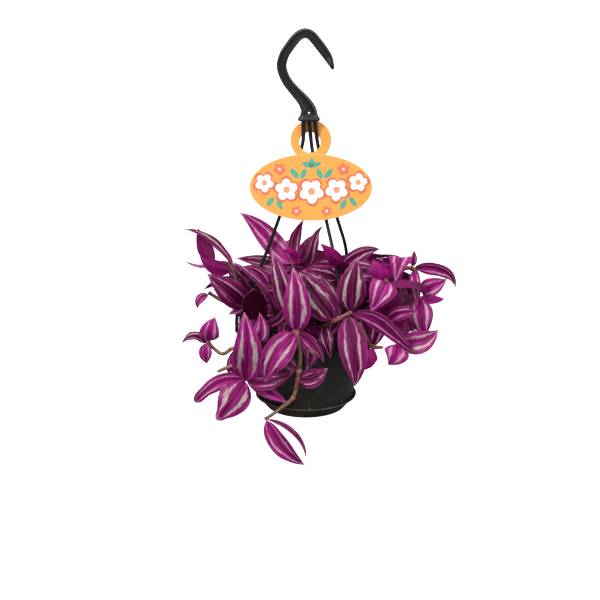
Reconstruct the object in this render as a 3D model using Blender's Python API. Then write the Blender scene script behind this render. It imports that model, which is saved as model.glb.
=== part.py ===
"""Tradescantia in a black plastic pot, hung from a three-strand hanger with a paper tag on it.

Blender 4.5, metres, +Z up. The origin is where the hook rests on the rail: the top of its inner curve.
The plant faces -Y. Tables give points in millimetres from that origin.
"""

import math

import bmesh
import bpy
from mathutils import Matrix, Vector
from mathutils.bvhtree import BVHTree

MM = 0.001
GAP = 0.35 * MM            # what a piece keeps from the piece that it rests on
CUTTER_REACH = 10.0 * MM   # how far a cutter goes past what it cuts
ROUND_SEGMENTS = 48        # round a turned piece
SOIL_SEGMENTS = 32
COLLAR_SEGMENTS = 24
HOLE_SEGMENTS = 12

# Pot: a 12 cm nursery pot with a stepped lip
POT_TOP = -249.0 * MM
POT_HEIGHT = 80.0 * MM
LIP_RADIUS = 59.5 * MM
LIP_HEIGHT = 10.0 * MM
LIP_STEP = 4.0 * MM        # how far the lip stands out past the wall
WALL_FOOT_RADIUS = 41.5 * MM
POT_WALL = 1.6 * MM
FOOT_RADIUS = 32.0 * MM
FOOT_CHAMFER = 8.0 * MM
DRAIN_RADIUS = 3.0 * MM
DRAIN_CIRCLE = 21.0 * MM
DRAIN_COUNT = 4

# Saucer under the pot
SAUCER_RIM_RADIUS = 45.3 * MM
SAUCER_FOOT_RADIUS = 34.5 * MM
SAUCER_HEIGHT = 12.0 * MM
SAUCER_WALL = 1.5 * MM

SOIL_BELOW_LIP = 11.0 * MM
SOIL_DOME = 2.0 * MM

# Hanger: a moulded hook with a raised edge, a collar and three round strands
HOOK_DEPTH = 6.0 * MM
HOOK_EDGE = 1.3 * MM       # width of the raised edge
HOOK_WEB = 2.2 * MM        # thickness of the sunk middle
HOOK_DRAFT = 0.2 * MM      # how far the sides of the sunk middle lean
HOOK_SPACING = 3.5 * MM    # between the band's sections
HOOK_SOLID_TIP = 4         # sections at the tip that aren't sunk
COLLAR_CENTRE_X = 2.5 * MM
COLLAR_FLATNESS = 0.55     # the collar's depth as a share of its width
COLLAR_HOLE_Z = -64.0 * MM
COLLAR_HOLE_RADIUS = 1.0 * MM
STRAND_RADIUS = 1.55 * MM
CLIP_HALF_WIDTH = 3.0 * MM
CLIP_FLARE_ABOVE = 5.0 * MM  # above the lip, where a strand starts to widen
CLIP_FLARE_LENGTH = 4.0 * MM
CLIP_ON_LIP = 1.5 * MM  # below the lip's top, where the clip meets it
CLIP_BEND_ABOVE = 2.0 * MM
CLIP_SAG = 0.5 * MM
CLIP_TUCK = 3.4 * MM  # how far the clip reaches under the lip
STRAND_SPACING = 8.0 * MM  # between a strand's sections

# Tag: a flat card that leans on the front strand
TAG_THICKNESS = 0.8 * MM
TAG_TOP = (4.2, 8.0, -72.0)
TAG_LEAN = math.radians(24.0)
TAG_RING_RADIUS = 17.7 * MM
TAG_HOLE_CENTRE = 19.6 * MM
TAG_HOLE_OFFSET = -0.8 * MM
TAG_HOLE_HALF = (9.2 * MM, 9.2 * MM)
TAG_PLATE_CENTRE = 58.7 * MM
TAG_PLATE_HALF = (52.6 * MM, 29.0 * MM)
TAG_RING_STEPS = 14        # sides of the outline on the ring and on the plate, from top to bottom
TAG_PLATE_STEPS = 30
NECK_HALVINGS = 40         # of the search for where ring and plate cross

STEM_RADIUS = 2.0 * MM
STEM_TIP_RADIUS = 1.5 * MM
STEM_SPACING = 9.0 * MM    # between a stem's sections
STEM_SIDES = 6
LEAF_THICKNESS = 0.7 * MM
LEAF_PEAK = 0.39           # where along the blade it is widest
LEAF_SHOULDER = 0.65       # how blunt the base of the blade is
LEAF_UPWARD = 0.33         # how much a blade's upper side faces up
LEAF_LEAST_HALF = 0.7 * MM # half width of a blade at its two ends
LEAF_END = 0.004           # the outline's own ends, of no width, are left out by this share
LEAF_ROWS = 7
LEAF_COLUMNS = 5

# The middle line of the hook's band, in the XZ plane, from the collar to the tip, with its half width
HOOK_LINE = [
    (2.4, -63.0, 6.6), (0.4, -57.5, 6.0), (-3.2, -52.2, 5.2), (-10.2, -44.4, 4.5), (-17.0, -35.4, 4.25),
    (-20.8, -24.0, 4.25), (-18.6, -14.3, 4.25), (-14.2, -7.2, 4.25), (-8.8, -0.2, 4.25), (-4.7, 3.2, 4.25),
    (-0.2, 4.25, 4.25), (4.2, 2.5, 4.25), (8.4, -2.2, 4.25), (13.4, -8.6, 4.25), (18.4, -15.8, 3.8),
    (21.6, -22.7, 2.1), (22.7, -26.4, 1.0),
]

# Collar: radius against height, in the direction of its longer side
COLLAR_PROFILE = [
    (0.0, -57.5), (4.6, -57.5), (6.3, -60.0), (7.0, -64.0), (9.0, -67.0), (9.4, -68.6), (9.4, -70.2),
    (7.6, -71.0), (0.0, -71.0),
]

# Each strand from the collar to the lip, before its clip
STRANDS = {
    "hanger_strand_left": (180.0, [(-2.2, 0, -71.4), (-3.2, 0, -92), (-23, 0, -156), (-41, 0, -204),
                                   (-60.2, 0, -243)]),
    "hanger_strand_front": (-60.0, [(2.6, 0, -71.4), (5.5, -0.5, -97), (17, -14, -153), (25, -30, -187),
                                    (30, -42, -220), (31, -46, -232), (31.2, -51.7, -242)]),
    "hanger_strand_back": (60.0, [(7.4, 0, -71.4), (10.6, 1, -94), (27, 18, -160), (36, 30, -195),
                                  (36, 43, -225), (31.5, 53.5, -243)]),
}

# Stems: the piece that each one grows from, and its route
STEMS = {
    "stem_front_trailing": ("soil", [
        (-6, -20, -260), (-8, -40, -243), (-9, -57, -236), (-8, -65, -240), (-5, -68, -257),
        (-6, -69, -273), (-8, -69, -288), (-10.6, -67.5, -298),
        (-13.5, -65.8, -302.5), (-24, -61.5, -313), (-36, -58, -323)]),
    "stem_front_right": ("soil", [
        (12, -24, -260), (15, -41, -243), (26, -53, -233), (40, -51, -226.5)]),
    "stem_left_low": ("soil", [
        (-20, -18, -260), (-28, -34, -243), (-38, -46, -238.5), (-46, -51, -248), (-50, -49, -265),
        (-53, -43, -293)]),
    "stem_left_up": ("soil", [
        (-22, -4, -260), (-38, -8, -239), (-53, -10, -233), (-61, -3, -214), (-66, 3, -202),
        (-74, 6, -199.5), (-82, 7, -204)]),
    "stem_middle": ("soil", [(-8, -4, -260), (-10, -5, -230), (-11, -7, -210), (-11, -8, -195)]),
    "stem_middle_right": ("soil", [(14, -6, -260), (20, -16, -235), (26, -27, -208), (29, -31, -191)]),
    "stem_right_high": ("soil", [
        (24, 0, -260), (44, -6, -232), (66, -10, -210), (84, -11, -200.5), (93, -12, -200),
        (98, -16, -207), (98, -21, -225)]),
    "stem_right_middle": ("soil", [
        (22, -11, -260), (42, -24, -234), (57, -33, -215), (70, -38, -202)]),
    "stem_right_low": ("soil", [
        (22, -23, -260), (34, -31, -243), (50, -38, -236), (64, -41, -236.5), (75, -44, -244),
        (82, -44, -258)]),
    "stem_side_shoot": ("stem_left_low", [
        (-50, -48, -263), (-64, -32, -266.5), (-73, -28, -273), (-80, -26, -269.5), (-87, -26, -261)]),
    "stem_back_left": ("soil", [
        (-14, 14, -260), (-34, 32, -240), (-47, 45, -235), (-57, 55, -250), (-56, 59, -272),
        (-52, 60, -290)]),
    "stem_back": ("soil", [
        (2, 20, -260), (3, 42, -238), (4, 60, -233), (5, 70, -248), (3, 72, -273), (2, 70, -296)]),
    "stem_back_right": ("soil", [
        (18, 14, -260), (36, 33, -238), (49, 45, -232), (60, 56, -245), (60, 60, -266), (57, 61, -283)]),
}

# Leaves: stem, midrib from base to tip, width, roll and fold in degrees, and the way the blade faces,
# in degrees round from the front (0) by the right (90). Leaves that lie in front come first.
LEAVES = {
    "leaf_front_up": ("stem_front_trailing", [(-9, -67, -238), (-8, -74, -209), (-11, -64, -183)],
                      24, 0, 10, 0),
    "leaf_front_down_left": ("stem_front_trailing", [(-12, -69, -241), (-25, -80, -255), (-35, -74, -282)],
                             25, 0, 12, 0),
    "leaf_front_down_right": ("stem_front_trailing", [(-5, -68, -241), (5, -76, -246), (15, -74, -264)],
                              17, 45, 20, 0),
    "leaf_trailing_end": ("stem_front_trailing", [(-38, -59, -324), (-23, -65, -342), (-1, -62, -364)],
                          19, 15, 25, 0),
    "leaf_right_front_down": ("stem_front_right", [(36, -51, -230), (39, -61, -248), (42, -67, -268),
                                                   (42, -64, -290)], 25, 0, 10, 0),
    "leaf_right_front_up": ("stem_front_right", [(39, -52, -225), (39, -60, -200), (44, -53, -177)],
                            25, 0, -8, 0),
    "leaf_right_front_arch": ("stem_front_right", [(42, -51, -228), (63, -59, -233), (80, -60, -248),
                                                   (94, -57, -261)], 18, 40, 10, 0),
    "leaf_middle_striped": ("stem_front_right", [(24, -52, -233), (11, -58, -213), (-6, -49, -192)],
                            27, 0, 8, 0),
    "leaf_left_big": ("stem_left_low", [(-53, -50, -291), (-50, -61, -260), (-53, -54, -226)],
                      28, 0, 12, 0),
    "leaf_left_low_point": ("stem_left_low", [(-55, -45, -295), (-63, -56, -305), (-78, -56, -324)],
                            29, 0, -10, 0),
    "leaf_left_low_arch": ("stem_left_low", [(-56, -43, -293), (-72, -50, -290), (-86, -54, -297),
                                             (-97, -48, -311)], 14, 0, 10, 0),
    "leaf_left_low_inner": ("stem_left_low", [(-50, -46, -294), (-29, -58, -287), (-10, -56, -279)],
                            15, 0, 15, 0),
    "leaf_shoot_round": ("stem_side_shoot", [(-87, -27, -259), (-83, -33, -248), (-79, -28, -239)],
                         18, 0, 8, 0),
    "leaf_left_dark": ("stem_left_up", [(-54, -14, -234), (-69, -26, -214), (-86, -22, -201)],
                       23, 0, 10, 0),
    "leaf_left_folded": ("stem_left_up", [(-65, 3, -199), (-79, 8, -187), (-92, 8, -176), (-107, 5, -169)],
                         15, 60, 30, 0),
    "leaf_left_upright": ("stem_left_up", [(-83, 8, -204), (-89, 12, -191), (-95, 16, -171)],
                          16, 155, 15, 0),
    "leaf_left_narrow": ("stem_left_low", [(-28, -36, -241), (-30, -40, -224), (-43, -32, -206),
                                           (-64, -14, -193)], 13, 60, 25, 0),
    "leaf_top_striped": ("stem_front_trailing", [(-10, -48, -237), (-20, -60, -200), (-29, -48, -173)],
                         20, -15, 10, 0),
    "leaf_top_left": ("stem_middle", [(-12, -7, -196), (-26, 4, -185), (-39, 9, -171), (-58, 9, -155)],
                      20, 0, 8, 0),
    "leaf_left_behind": ("stem_middle", [(-13, -5, -203), (-38, 6, -199), (-62, 7, -196)], 13, 10, 10, 0),
    "leaf_top_curled": ("stem_middle", [(-12, -10, -195), (3, -22, -184), (7, -22, -169),
                                        (15, -14, -161)], 16, 50, 15, 0),
    "leaf_middle_band": ("stem_middle_right", [(27, -31, -204), (16, -42, -196), (-3, -37, -194)],
                         16, -10, 8, 0),
    "leaf_top_right": ("stem_middle_right", [(30, -31, -189), (45, -29, -182), (64, -19, -180)],
                       13, 20, 10, 0),
    "leaf_right_wedge": ("stem_right_middle", [(70, -41, -199), (65, -56, -205), (55, -58, -224)],
                         24, 0, 6, 0),
    "leaf_right_maroon": ("stem_right_middle", [(72, -41, -202), (85, -46, -202), (99, -42, -206),
                                                (102, -40, -223)], 11, 130, 15, 0),
    "leaf_right_curled": ("stem_right_high", [(84, -12, -199), (82, -21, -187), (77, -34, -205)],
                          22, 70, 5, 90),
    "leaf_right_long": ("stem_right_high", [(95, -12, -199), (108, -14, -198), (122, -14, -202),
                                            (131, -12, -217)], 14, 35, 20, 0),
    "leaf_right_tip": ("stem_right_high", [(100, -21, -217), (110, -28, -211), (122, -26, -205)],
                       17, 0, 10, 0),
    "leaf_right_hanging": ("stem_right_high", [(98, -23, -226), (100, -38, -237), (103, -36, -256)],
                           22, 0, -8, 0),
    "leaf_right_boat": ("stem_right_low", [(84, -45, -259), (98, -57, -252), (114, -51, -243)],
                        22, 0, 20, 0),
    "leaf_right_round": ("stem_right_low", [(80, -46, -259), (77, -58, -264), (71, -54, -274)],
                         23, 0, -12, 0),
    "leaf_back_left_out": ("stem_back_left", [(-60, 56, -252), (-76, 68, -240), (-94, 74, -246)],
                           22, 0, 10, 225),
    "leaf_back_left_down": ("stem_back_left", [(-51, 62, -290), (-45, 70, -303), (-38, 68, -323)],
                            22, 0, 10, 210),
    "leaf_back_up": ("stem_back", [(4, 66, -237), (0, 78, -226), (-6, 78, -208)], 24, 0, 10, 180),
    "leaf_back_side": ("stem_back", [(2, 73, -274), (-14, 79, -286), (-30, 76, -304)], 22, 0, 10, 180),
    "leaf_back_down": ("stem_back", [(2, 71, -297), (6, 79, -312), (10, 76, -334)], 24, 0, 10, 180),
    "leaf_back_right_up": ("stem_back_right", [(51, 47, -231), (63, 64, -223), (79, 68, -214)],
                           22, 0, 10, 150),
    "leaf_back_right_out": ("stem_back_right", [(67, 60, -266), (84, 67, -268), (103, 62, -282)],
                            22, 0, 10, 140),
    "leaf_back_right_down": ("stem_back_right", [(56, 63, -284), (51, 71, -298), (44, 69, -319)],
                             22, 0, 10, 165),
}

# How far a leaf may be swung forward or back, and rolled, to clear the leaves set before it
SWINGS = [0, 2, -2, 4, -4, 6, -6, 8, -8, 11, -11, 14, -14, 18, -18, 22]
ROLLS = [0, 10, -10, 22, -22]


# Colours and materials
def linear(hex_colour):
    """sRGB hex to linear RGBA."""
    value = [int(hex_colour[i:i + 2], 16) / 255 for i in (1, 3, 5)]
    return [c / 12.92 if c <= 0.04045 else ((c + 0.055) / 1.055) ** 2.4 for c in value] + [1.0]


def material(name, hex_colour, roughness, metallic=0.0):
    made = bpy.data.materials.new(name)
    made.use_nodes = True
    shader = made.node_tree.nodes["Principled BSDF"]
    shader.inputs["Base Color"].default_value = linear(hex_colour)
    shader.inputs["Roughness"].default_value = roughness
    shader.inputs["Metallic"].default_value = metallic
    return made


# Objects
def add_object(name, points, faces, look, smooth=True):
    """One closed body with its normals outward."""
    mesh = bpy.data.meshes.new(name)
    work = bmesh.new()
    corners = [work.verts.new(p) for p in points]
    for face in faces:
        work.faces.new([corners[i] for i in face])
    bmesh.ops.recalc_face_normals(work, faces=work.faces)
    if work.calc_volume(signed=True) < 0:
        bmesh.ops.reverse_faces(work, faces=work.faces)
    work.to_mesh(mesh)
    work.free()
    if smooth:
        mesh.shade_smooth()
        mesh.set_sharp_from_angle(angle=math.radians(40))
    body = bpy.data.objects.new(name, mesh)
    bpy.context.scene.collection.objects.link(body)
    mesh.materials.append(look)
    return body


def as_tool(body):
    """Keep a cutter or a joined shape out of the finished model."""
    body.hide_render = True
    body.display_type = "WIRE"
    return body


def combine(body, tool, operation):
    change = body.modifiers.new(tool.name, "BOOLEAN")
    change.operation = operation
    change.object = as_tool(tool)


def turned(name, profile, segments, look, stretch_y=1.0, centre_x=0.0):
    """A profile of (radius, height) points turned round the Z axis, closed where it meets the axis."""
    points = []
    faces = []
    rings = []
    for radius, height in profile:
        if radius < 1e-6:
            rings.append([len(points)])
            points.append((centre_x, 0.0, height))
            continue
        rings.append(list(range(len(points), len(points) + segments)))
        for k in range(segments):
            angle = 2 * math.pi * k / segments
            x = radius * math.cos(angle)
            y = radius * math.sin(angle) * stretch_y
            points.append((centre_x + x, y, height))
    for low, high in zip(rings, rings[1:]):
        for k in range(segments):
            n = (k + 1) % segments
            corners = [low[k % len(low)], low[n % len(low)], high[n % len(high)], high[k % len(high)]]
            faces.append(list(dict.fromkeys(corners)))
    return add_object(name, points, faces, look)


# Curves
def through(points, t):
    """The point at t (0 to 1) on the one polynomial curve that passes through a few points."""
    knots = [0.0]
    for a, b in zip(points, points[1:]):
        knots.append(knots[-1] + (b - a).length)
    knots = [k / knots[-1] for k in knots]
    total = Vector((0.0, 0.0, 0.0))
    for i, point in enumerate(points):
        weight = 1.0
        for j, knot in enumerate(knots):
            if j != i:
                weight *= (t - knot) / (knots[i] - knot)
        total += point * weight
    return total


def spline(points, spacing):
    """Points about a spacing apart on a smooth curve through all the given points."""
    ends = [points[0] * 2 - points[1]] + list(points) + [points[-1] * 2 - points[-2]]
    line = [points[0]]
    for a, b, c, d in zip(ends, ends[1:], ends[2:], ends[3:]):
        reach = (c - b).length
        leave = (c - a).normalized() * reach
        arrive = (d - b).normalized() * reach
        steps = max(1, round(reach / spacing))
        for k in range(1, steps + 1):
            t = k / steps
            ahead = t * t * (3 - 2 * t)
            line.append(b * (1 - ahead) + c * ahead + leave * t * (1 - t) ** 2 - arrive * t * t * (1 - t))
    return line


def in_metres(points):
    return [Vector(p) * MM for p in points]


def tangents(line):
    last = len(line) - 1
    return [(line[min(k + 1, last)] - line[max(k - 1, 0)]).normalized() for k in range(last + 1)]


def tube(name, line, sizes, sides, look, side_hint):
    """A closed tube along a line. Sizes are (half width, half thickness) at each point."""
    points = []
    faces = []
    across = side_hint
    for centre, along, size in zip(line, tangents(line), sizes):
        across = (across - along * across.dot(along)).normalized()
        up = along.cross(across)
        for k in range(sides):
            angle = 2 * math.pi * k / sides
            points.append(centre + across * size[0] * math.cos(angle) + up * size[1] * math.sin(angle))
    for ring in range(len(line) - 1):
        for k in range(sides):
            n = (k + 1) % sides
            a = ring * sides
            faces.append([a + k, a + n, a + n + sides, a + k + sides])
    faces.append(list(range(sides)))
    faces.append(list(range(len(points) - sides, len(points))))
    return add_object(name, points, faces, look)


def rounded_ends(line, radius):
    """Extra points and sizes that close a tube with a blunt round end at both ends."""
    def end(tip, inner, size):
        inward = (inner - tip).normalized()
        return [(tip, size * 0.4), (tip + inward * size * 0.35, size * 0.8)]
    count = len(line) - 1
    body = [(p, radius(k / count)) for k, p in enumerate(line)]
    start = end(line[0], line[1], radius(0))
    finish = end(line[-1], line[-2], radius(1))
    ring = [(line[0] + (line[1] - line[0]).normalized() * radius(0), radius(0))]
    last = [(line[-1] + (line[-2] - line[-1]).normalized() * radius(1), radius(1))]
    return start + ring + body[1:-1] + last + finish[::-1]


# Pot, saucer and soil
def pot_wall_radius(height):
    """Outer radius of the pot's wall below the lip."""
    top = POT_TOP - LIP_HEIGHT
    foot = POT_TOP - POT_HEIGHT + FOOT_CHAMFER
    share = (height - foot) / (top - foot)
    return WALL_FOOT_RADIUS + (LIP_RADIUS - LIP_STEP - WALL_FOOT_RADIUS) * share


def make_pot(look):
    lip_low = POT_TOP - LIP_HEIGHT
    wall_low = POT_TOP - POT_HEIGHT + FOOT_CHAMFER
    base = POT_TOP - POT_HEIGHT
    wall_top_radius = LIP_RADIUS - LIP_STEP
    foot_inside = FOOT_RADIUS - POT_WALL
    floor = base + POT_WALL * 1.5
    outside = [
        (LIP_RADIUS - POT_WALL, POT_TOP), (LIP_RADIUS - 0.4 * MM, POT_TOP), (LIP_RADIUS, POT_TOP - 0.5 * MM),
        (LIP_RADIUS, lip_low), (wall_top_radius, lip_low), (WALL_FOOT_RADIUS, wall_low),
        (FOOT_RADIUS + 1.5 * MM, base + 1.0 * MM), (FOOT_RADIUS, base)]
    inside = [
        (foot_inside, floor), (WALL_FOOT_RADIUS - POT_WALL, wall_low + POT_WALL * 0.5),
        (wall_top_radius - POT_WALL, lip_low), (LIP_RADIUS - POT_WALL, lip_low + POT_WALL)]
    profile = [(0.0, base)] + outside[::-1] + inside[::-1] + [(0.0, floor)]
    pot = turned("pot", profile, ROUND_SEGMENTS, look)
    for k in range(DRAIN_COUNT):
        angle = math.pi / 4 + 2 * math.pi * k / DRAIN_COUNT
        place = Vector((math.cos(angle), math.sin(angle), 0)) * DRAIN_CIRCLE
        low = base - CUTTER_REACH
        high = floor + CUTTER_REACH
        drain = turned(f"drain_cutter_{k}", [(0, low), (DRAIN_RADIUS, low), (DRAIN_RADIUS, high), (0, high)],
                       HOLE_SEGMENTS, look)
        drain.location = place
        combine(pot, drain, "DIFFERENCE")
    return pot


def make_saucer(look):
    floor = POT_TOP - POT_HEIGHT - GAP
    base = floor - SAUCER_WALL
    rim = base + SAUCER_HEIGHT
    outside = [
        (SAUCER_FOOT_RADIUS, base), (SAUCER_FOOT_RADIUS + 1.0 * MM, base + 1.0 * MM),
        (SAUCER_RIM_RADIUS - 2.2 * MM, rim - 2.0 * MM), (SAUCER_RIM_RADIUS, rim - 1.4 * MM),
        (SAUCER_RIM_RADIUS, rim)]
    inside = [
        (SAUCER_RIM_RADIUS - SAUCER_WALL * 0.7, rim), (SAUCER_RIM_RADIUS - 2.0 * MM, rim - 1.2 * MM),
        (SAUCER_FOOT_RADIUS + 1.0 * MM, floor + 1.4 * MM), (SAUCER_FOOT_RADIUS - 0.5 * MM, floor)]
    return turned("saucer", [(0.0, base)] + outside + inside + [(0.0, floor)], ROUND_SEGMENTS, look)


def soil_top(radius):
    edge = POT_TOP - SOIL_BELOW_LIP
    return edge + SOIL_DOME * (1 - (radius / (LIP_RADIUS - LIP_STEP)) ** 2)


def make_soil(look):
    base = POT_TOP - POT_HEIGHT + POT_WALL * 1.5 + GAP
    wall_low = POT_TOP - POT_HEIGHT + FOOT_CHAMFER + POT_WALL
    top = POT_TOP - SOIL_BELOW_LIP
    inner = POT_WALL + 1.5 * GAP
    profile = [
        (0.0, base), (FOOT_RADIUS - inner - 1.0 * MM, base), (pot_wall_radius(wall_low) - inner, wall_low),
        (pot_wall_radius(top) - inner, top)]
    steps = 4
    for k in range(1, steps):
        radius = (pot_wall_radius(top) - inner) * (1 - k / steps)
        profile.append((radius, soil_top(radius)))
    return turned("soil", profile + [(0.0, soil_top(0))], SOIL_SEGMENTS, look)


# Hanger
def hook_section(half_width, sunk):
    """Section of the hook's band: raised edges with a sunk middle, or a full bar where sunk is False."""
    half_depth = HOOK_DEPTH / 2
    middle = HOOK_WEB / 2 if sunk else half_depth
    edge = max(half_width - HOOK_EDGE, half_width * 0.5)
    return [
        (-half_width, -half_depth), (-edge, -half_depth), (-edge + HOOK_DRAFT, -middle),
        (edge - HOOK_DRAFT, -middle), (edge, -half_depth), (half_width, -half_depth),
        (half_width, half_depth), (edge, half_depth), (edge - HOOK_DRAFT, middle),
        (-edge + HOOK_DRAFT, middle), (-edge, half_depth), (-half_width, half_depth)]


def make_hook(look):
    spots = spline([Vector((x, width, z)) * MM for x, z, width in HOOK_LINE], HOOK_SPACING)
    line = [Vector((p.x, 0, p.z)) for p in spots]
    count = len(line)
    points = []
    faces = []
    size = len(hook_section(HOOK_EDGE, True))
    for k, (centre, along) in enumerate(zip(line, tangents(line))):
        across = along.cross(Vector((0, 1, 0)))
        sunk = 1 < k < count - HOOK_SOLID_TIP
        for side, depth in hook_section(spots[k].y, sunk):
            points.append(centre + across * side + Vector((0, depth, 0)))
    for ring in range(count - 1):
        for k in range(size):
            n = (k + 1) % size
            a = ring * size
            faces.append([a + k, a + n, a + n + size, a + k + size])
    faces.append(list(range(size)))
    faces.append(list(range(len(points) - size, len(points))))
    hook = add_object("hanger_hook", points, faces, look)
    profile = [(r * MM, z * MM) for r, z in COLLAR_PROFILE]
    collar = turned("collar_shape", profile, COLLAR_SEGMENTS, look, COLLAR_FLATNESS, COLLAR_CENTRE_X)
    combine(hook, collar, "UNION")
    hole = turned("collar_hole", [(0, -CUTTER_REACH), (COLLAR_HOLE_RADIUS, -CUTTER_REACH),
                                  (COLLAR_HOLE_RADIUS, CUTTER_REACH), (0, CUTTER_REACH)], HOLE_SEGMENTS, look)
    hole.rotation_euler = (math.pi / 2, 0, 0)
    hole.location = (COLLAR_CENTRE_X, 0, COLLAR_HOLE_Z)
    combine(hook, hole, "DIFFERENCE")
    return hook


def strand_route(angle, points):
    """A strand's route, ended by a clip that lies on the lip and hooks under it."""
    outward = Vector((math.cos(math.radians(angle)), math.sin(math.radians(angle)), 0))
    reach = LIP_RADIUS + GAP + STRAND_RADIUS
    under = POT_TOP - LIP_HEIGHT - GAP - STRAND_RADIUS
    clip = [
        outward * reach + Vector((0, 0, POT_TOP - CLIP_ON_LIP)),
        outward * reach + Vector((0, 0, POT_TOP - LIP_HEIGHT + CLIP_BEND_ABOVE)),
        outward * (reach - 0.2 * MM) + Vector((0, 0, under - CLIP_SAG)),
        outward * (reach - CLIP_TUCK) + Vector((0, 0, under - 0.8 * CLIP_SAG))]
    return in_metres(points) + clip, outward


def make_strand(name, look):
    angle, points = STRANDS[name]
    route, outward = strand_route(angle, points)
    line = spline(route, STRAND_SPACING)
    sizes = []
    for point in line:
        down = max(0.0, min(1.0, (POT_TOP + CLIP_FLARE_ABOVE - point.z) / CLIP_FLARE_LENGTH))
        sizes.append((STRAND_RADIUS + (CLIP_HALF_WIDTH - STRAND_RADIUS) * down, STRAND_RADIUS))
    around = Vector((0, 0, 1)).cross(outward)
    return tube(name, line, sizes, 8, look, around)


def ring_spot(turn):
    """A spot on the card's ring, at an angle from its top."""
    return TAG_RING_RADIUS * math.sin(turn), TAG_RING_RADIUS * (1 - math.cos(turn))


def plate_spot(turn):
    """A spot on the card's oval plate, at an angle from its top."""
    return TAG_PLATE_HALF[0] * math.sin(turn), TAG_PLATE_CENTRE - TAG_PLATE_HALF[1] * math.cos(turn)


def tag_neck():
    """The angles on the ring and on the plate at which their outlines cross."""
    low = math.pi / 2
    high = math.pi
    for _ in range(NECK_HALVINGS):
        turn = (low + high) / 2
        across, down = ring_spot(turn)
        share = (TAG_PLATE_CENTRE - down) / TAG_PLATE_HALF[1]
        if (across / TAG_PLATE_HALF[0]) ** 2 + share ** 2 > 1:
            low = turn
        else:
            high = turn
    return turn, math.acos(share)


def tag_outline():
    """Points round the card: its ring as far as the neck, then its oval plate."""
    ring_end, plate_start = tag_neck()
    side = [ring_spot(ring_end * k / TAG_RING_STEPS) for k in range(1, TAG_RING_STEPS)]
    rest = math.pi - plate_start
    side += [plate_spot(plate_start + rest * k / TAG_PLATE_STEPS) for k in range(TAG_PLATE_STEPS)]
    left = [(-x, down) for x, down in side[::-1]]
    return [(0.0, 0.0)] + side + [(0.0, TAG_PLATE_CENTRE + TAG_PLATE_HALF[1])] + left


def tag_frame():
    """Turns the card's own plane (right, down, out) into its leaning place on the strands."""
    top = Vector(TAG_TOP) * MM
    down = Vector((0, -math.sin(TAG_LEAN), -math.cos(TAG_LEAN)))
    right = Vector((1, 0, 0))
    out = right.cross(down)
    turn = Matrix((right, down, out)).transposed().to_4x4()
    return Matrix.Translation(top) @ turn


def prism(name, outline, thickness, look):
    """A flat outline given a thickness, half on each side of its plane."""
    count = len(outline)
    points = [(x, y, side * thickness / 2) for side in (-1, 1) for x, y in outline]
    faces = [list(range(count))[::-1], list(range(count, 2 * count))]
    faces += [[k, (k + 1) % count, (k + 1) % count + count, k + count] for k in range(count)]
    return add_object(name, points, faces, look, smooth=False)


def make_tag(look):
    tag = prism("tag", tag_outline(), TAG_THICKNESS, look)
    sides = 28
    ring = [(TAG_HOLE_OFFSET + TAG_HOLE_HALF[0] * math.cos(2 * math.pi * k / sides),
             TAG_HOLE_CENTRE + TAG_HOLE_HALF[1] * math.sin(2 * math.pi * k / sides)) for k in range(sides)]
    hole = prism("tag_hole", ring, CUTTER_REACH, look)
    tag.matrix_world = tag_frame()
    hole.matrix_world = tag_frame()
    combine(tag, hole, "DIFFERENCE")
    return tag


# Plant
def stem_line(name):
    """The middle line of a stem. It starts on the soil, or on the stem that it grows from."""
    parent, points = STEMS[name]
    route = in_metres(points)
    if parent == "soil":
        route[0].z = soil_top(math.hypot(route[0].x, route[0].y)) + GAP
        route.insert(1, route[0] + Vector((0, 0, 5 * MM)))
    else:
        near = nearest(stem_line(parent), route[0])[0]
        route[0] = near + (route[1] - near).normalized() * (STEM_RADIUS + GAP)
    return spline(route, STEM_SPACING)


def stem_radius(share):
    return STEM_RADIUS + (STEM_TIP_RADIUS - STEM_RADIUS) * share


def nearest(line, point):
    """The nearest spot to a point on a stem's line, short of its rounded end, and the direction there."""
    end = line[-1] + (line[-2] - line[-1]).normalized() * STEM_TIP_RADIUS
    line = line[:-1] + [end]
    best = (line[0], line[1] - line[0], 0.0)
    for k, (a, b) in enumerate(zip(line, line[1:])):
        share = (point - a).dot(b - a) / (b - a).length_squared
        share = max(0.0, min(1.0, share))
        spot = a + (b - a) * share
        if (spot - point).length < (best[0] - point).length:
            best = (spot, b - a, (k + share) / (len(line) - 1))
    return best


def make_stem(name, look):
    rings = rounded_ends(stem_line(name), stem_radius)
    sizes = [(radius, radius) for _, radius in rings]
    return tube(name, [p for p, _ in rings], sizes, STEM_SIDES, look, Vector((0.3, 0.9, 0.1)))


def blade_outline(t):
    """Half width of a blade at t along it, as a share of its greatest half width."""
    fall = LEAF_SHOULDER * (1 - LEAF_PEAK) / LEAF_PEAK
    peak = LEAF_PEAK ** LEAF_SHOULDER * (1 - LEAF_PEAK) ** fall
    return t ** LEAF_SHOULDER * (1 - t) ** fall / peak


def midrib(name):
    """The leaf's midrib points, with its base set on the surface of its stem."""
    stem, points = LEAVES[name][:2]
    route = in_metres(points)
    seat, along, share = nearest(stem_line(stem), route[0])
    along.normalize()
    toward = route[1] - seat
    if (route[0] - seat).length > 0.5 * MM:
        toward = toward.normalized() + (route[0] - seat).normalized()
    outward = toward - along * toward.dot(along)
    route[0] = seat + outward.normalized() * (stem_radius(share) + LEAF_THICKNESS / 2 + GAP)
    return route


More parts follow.
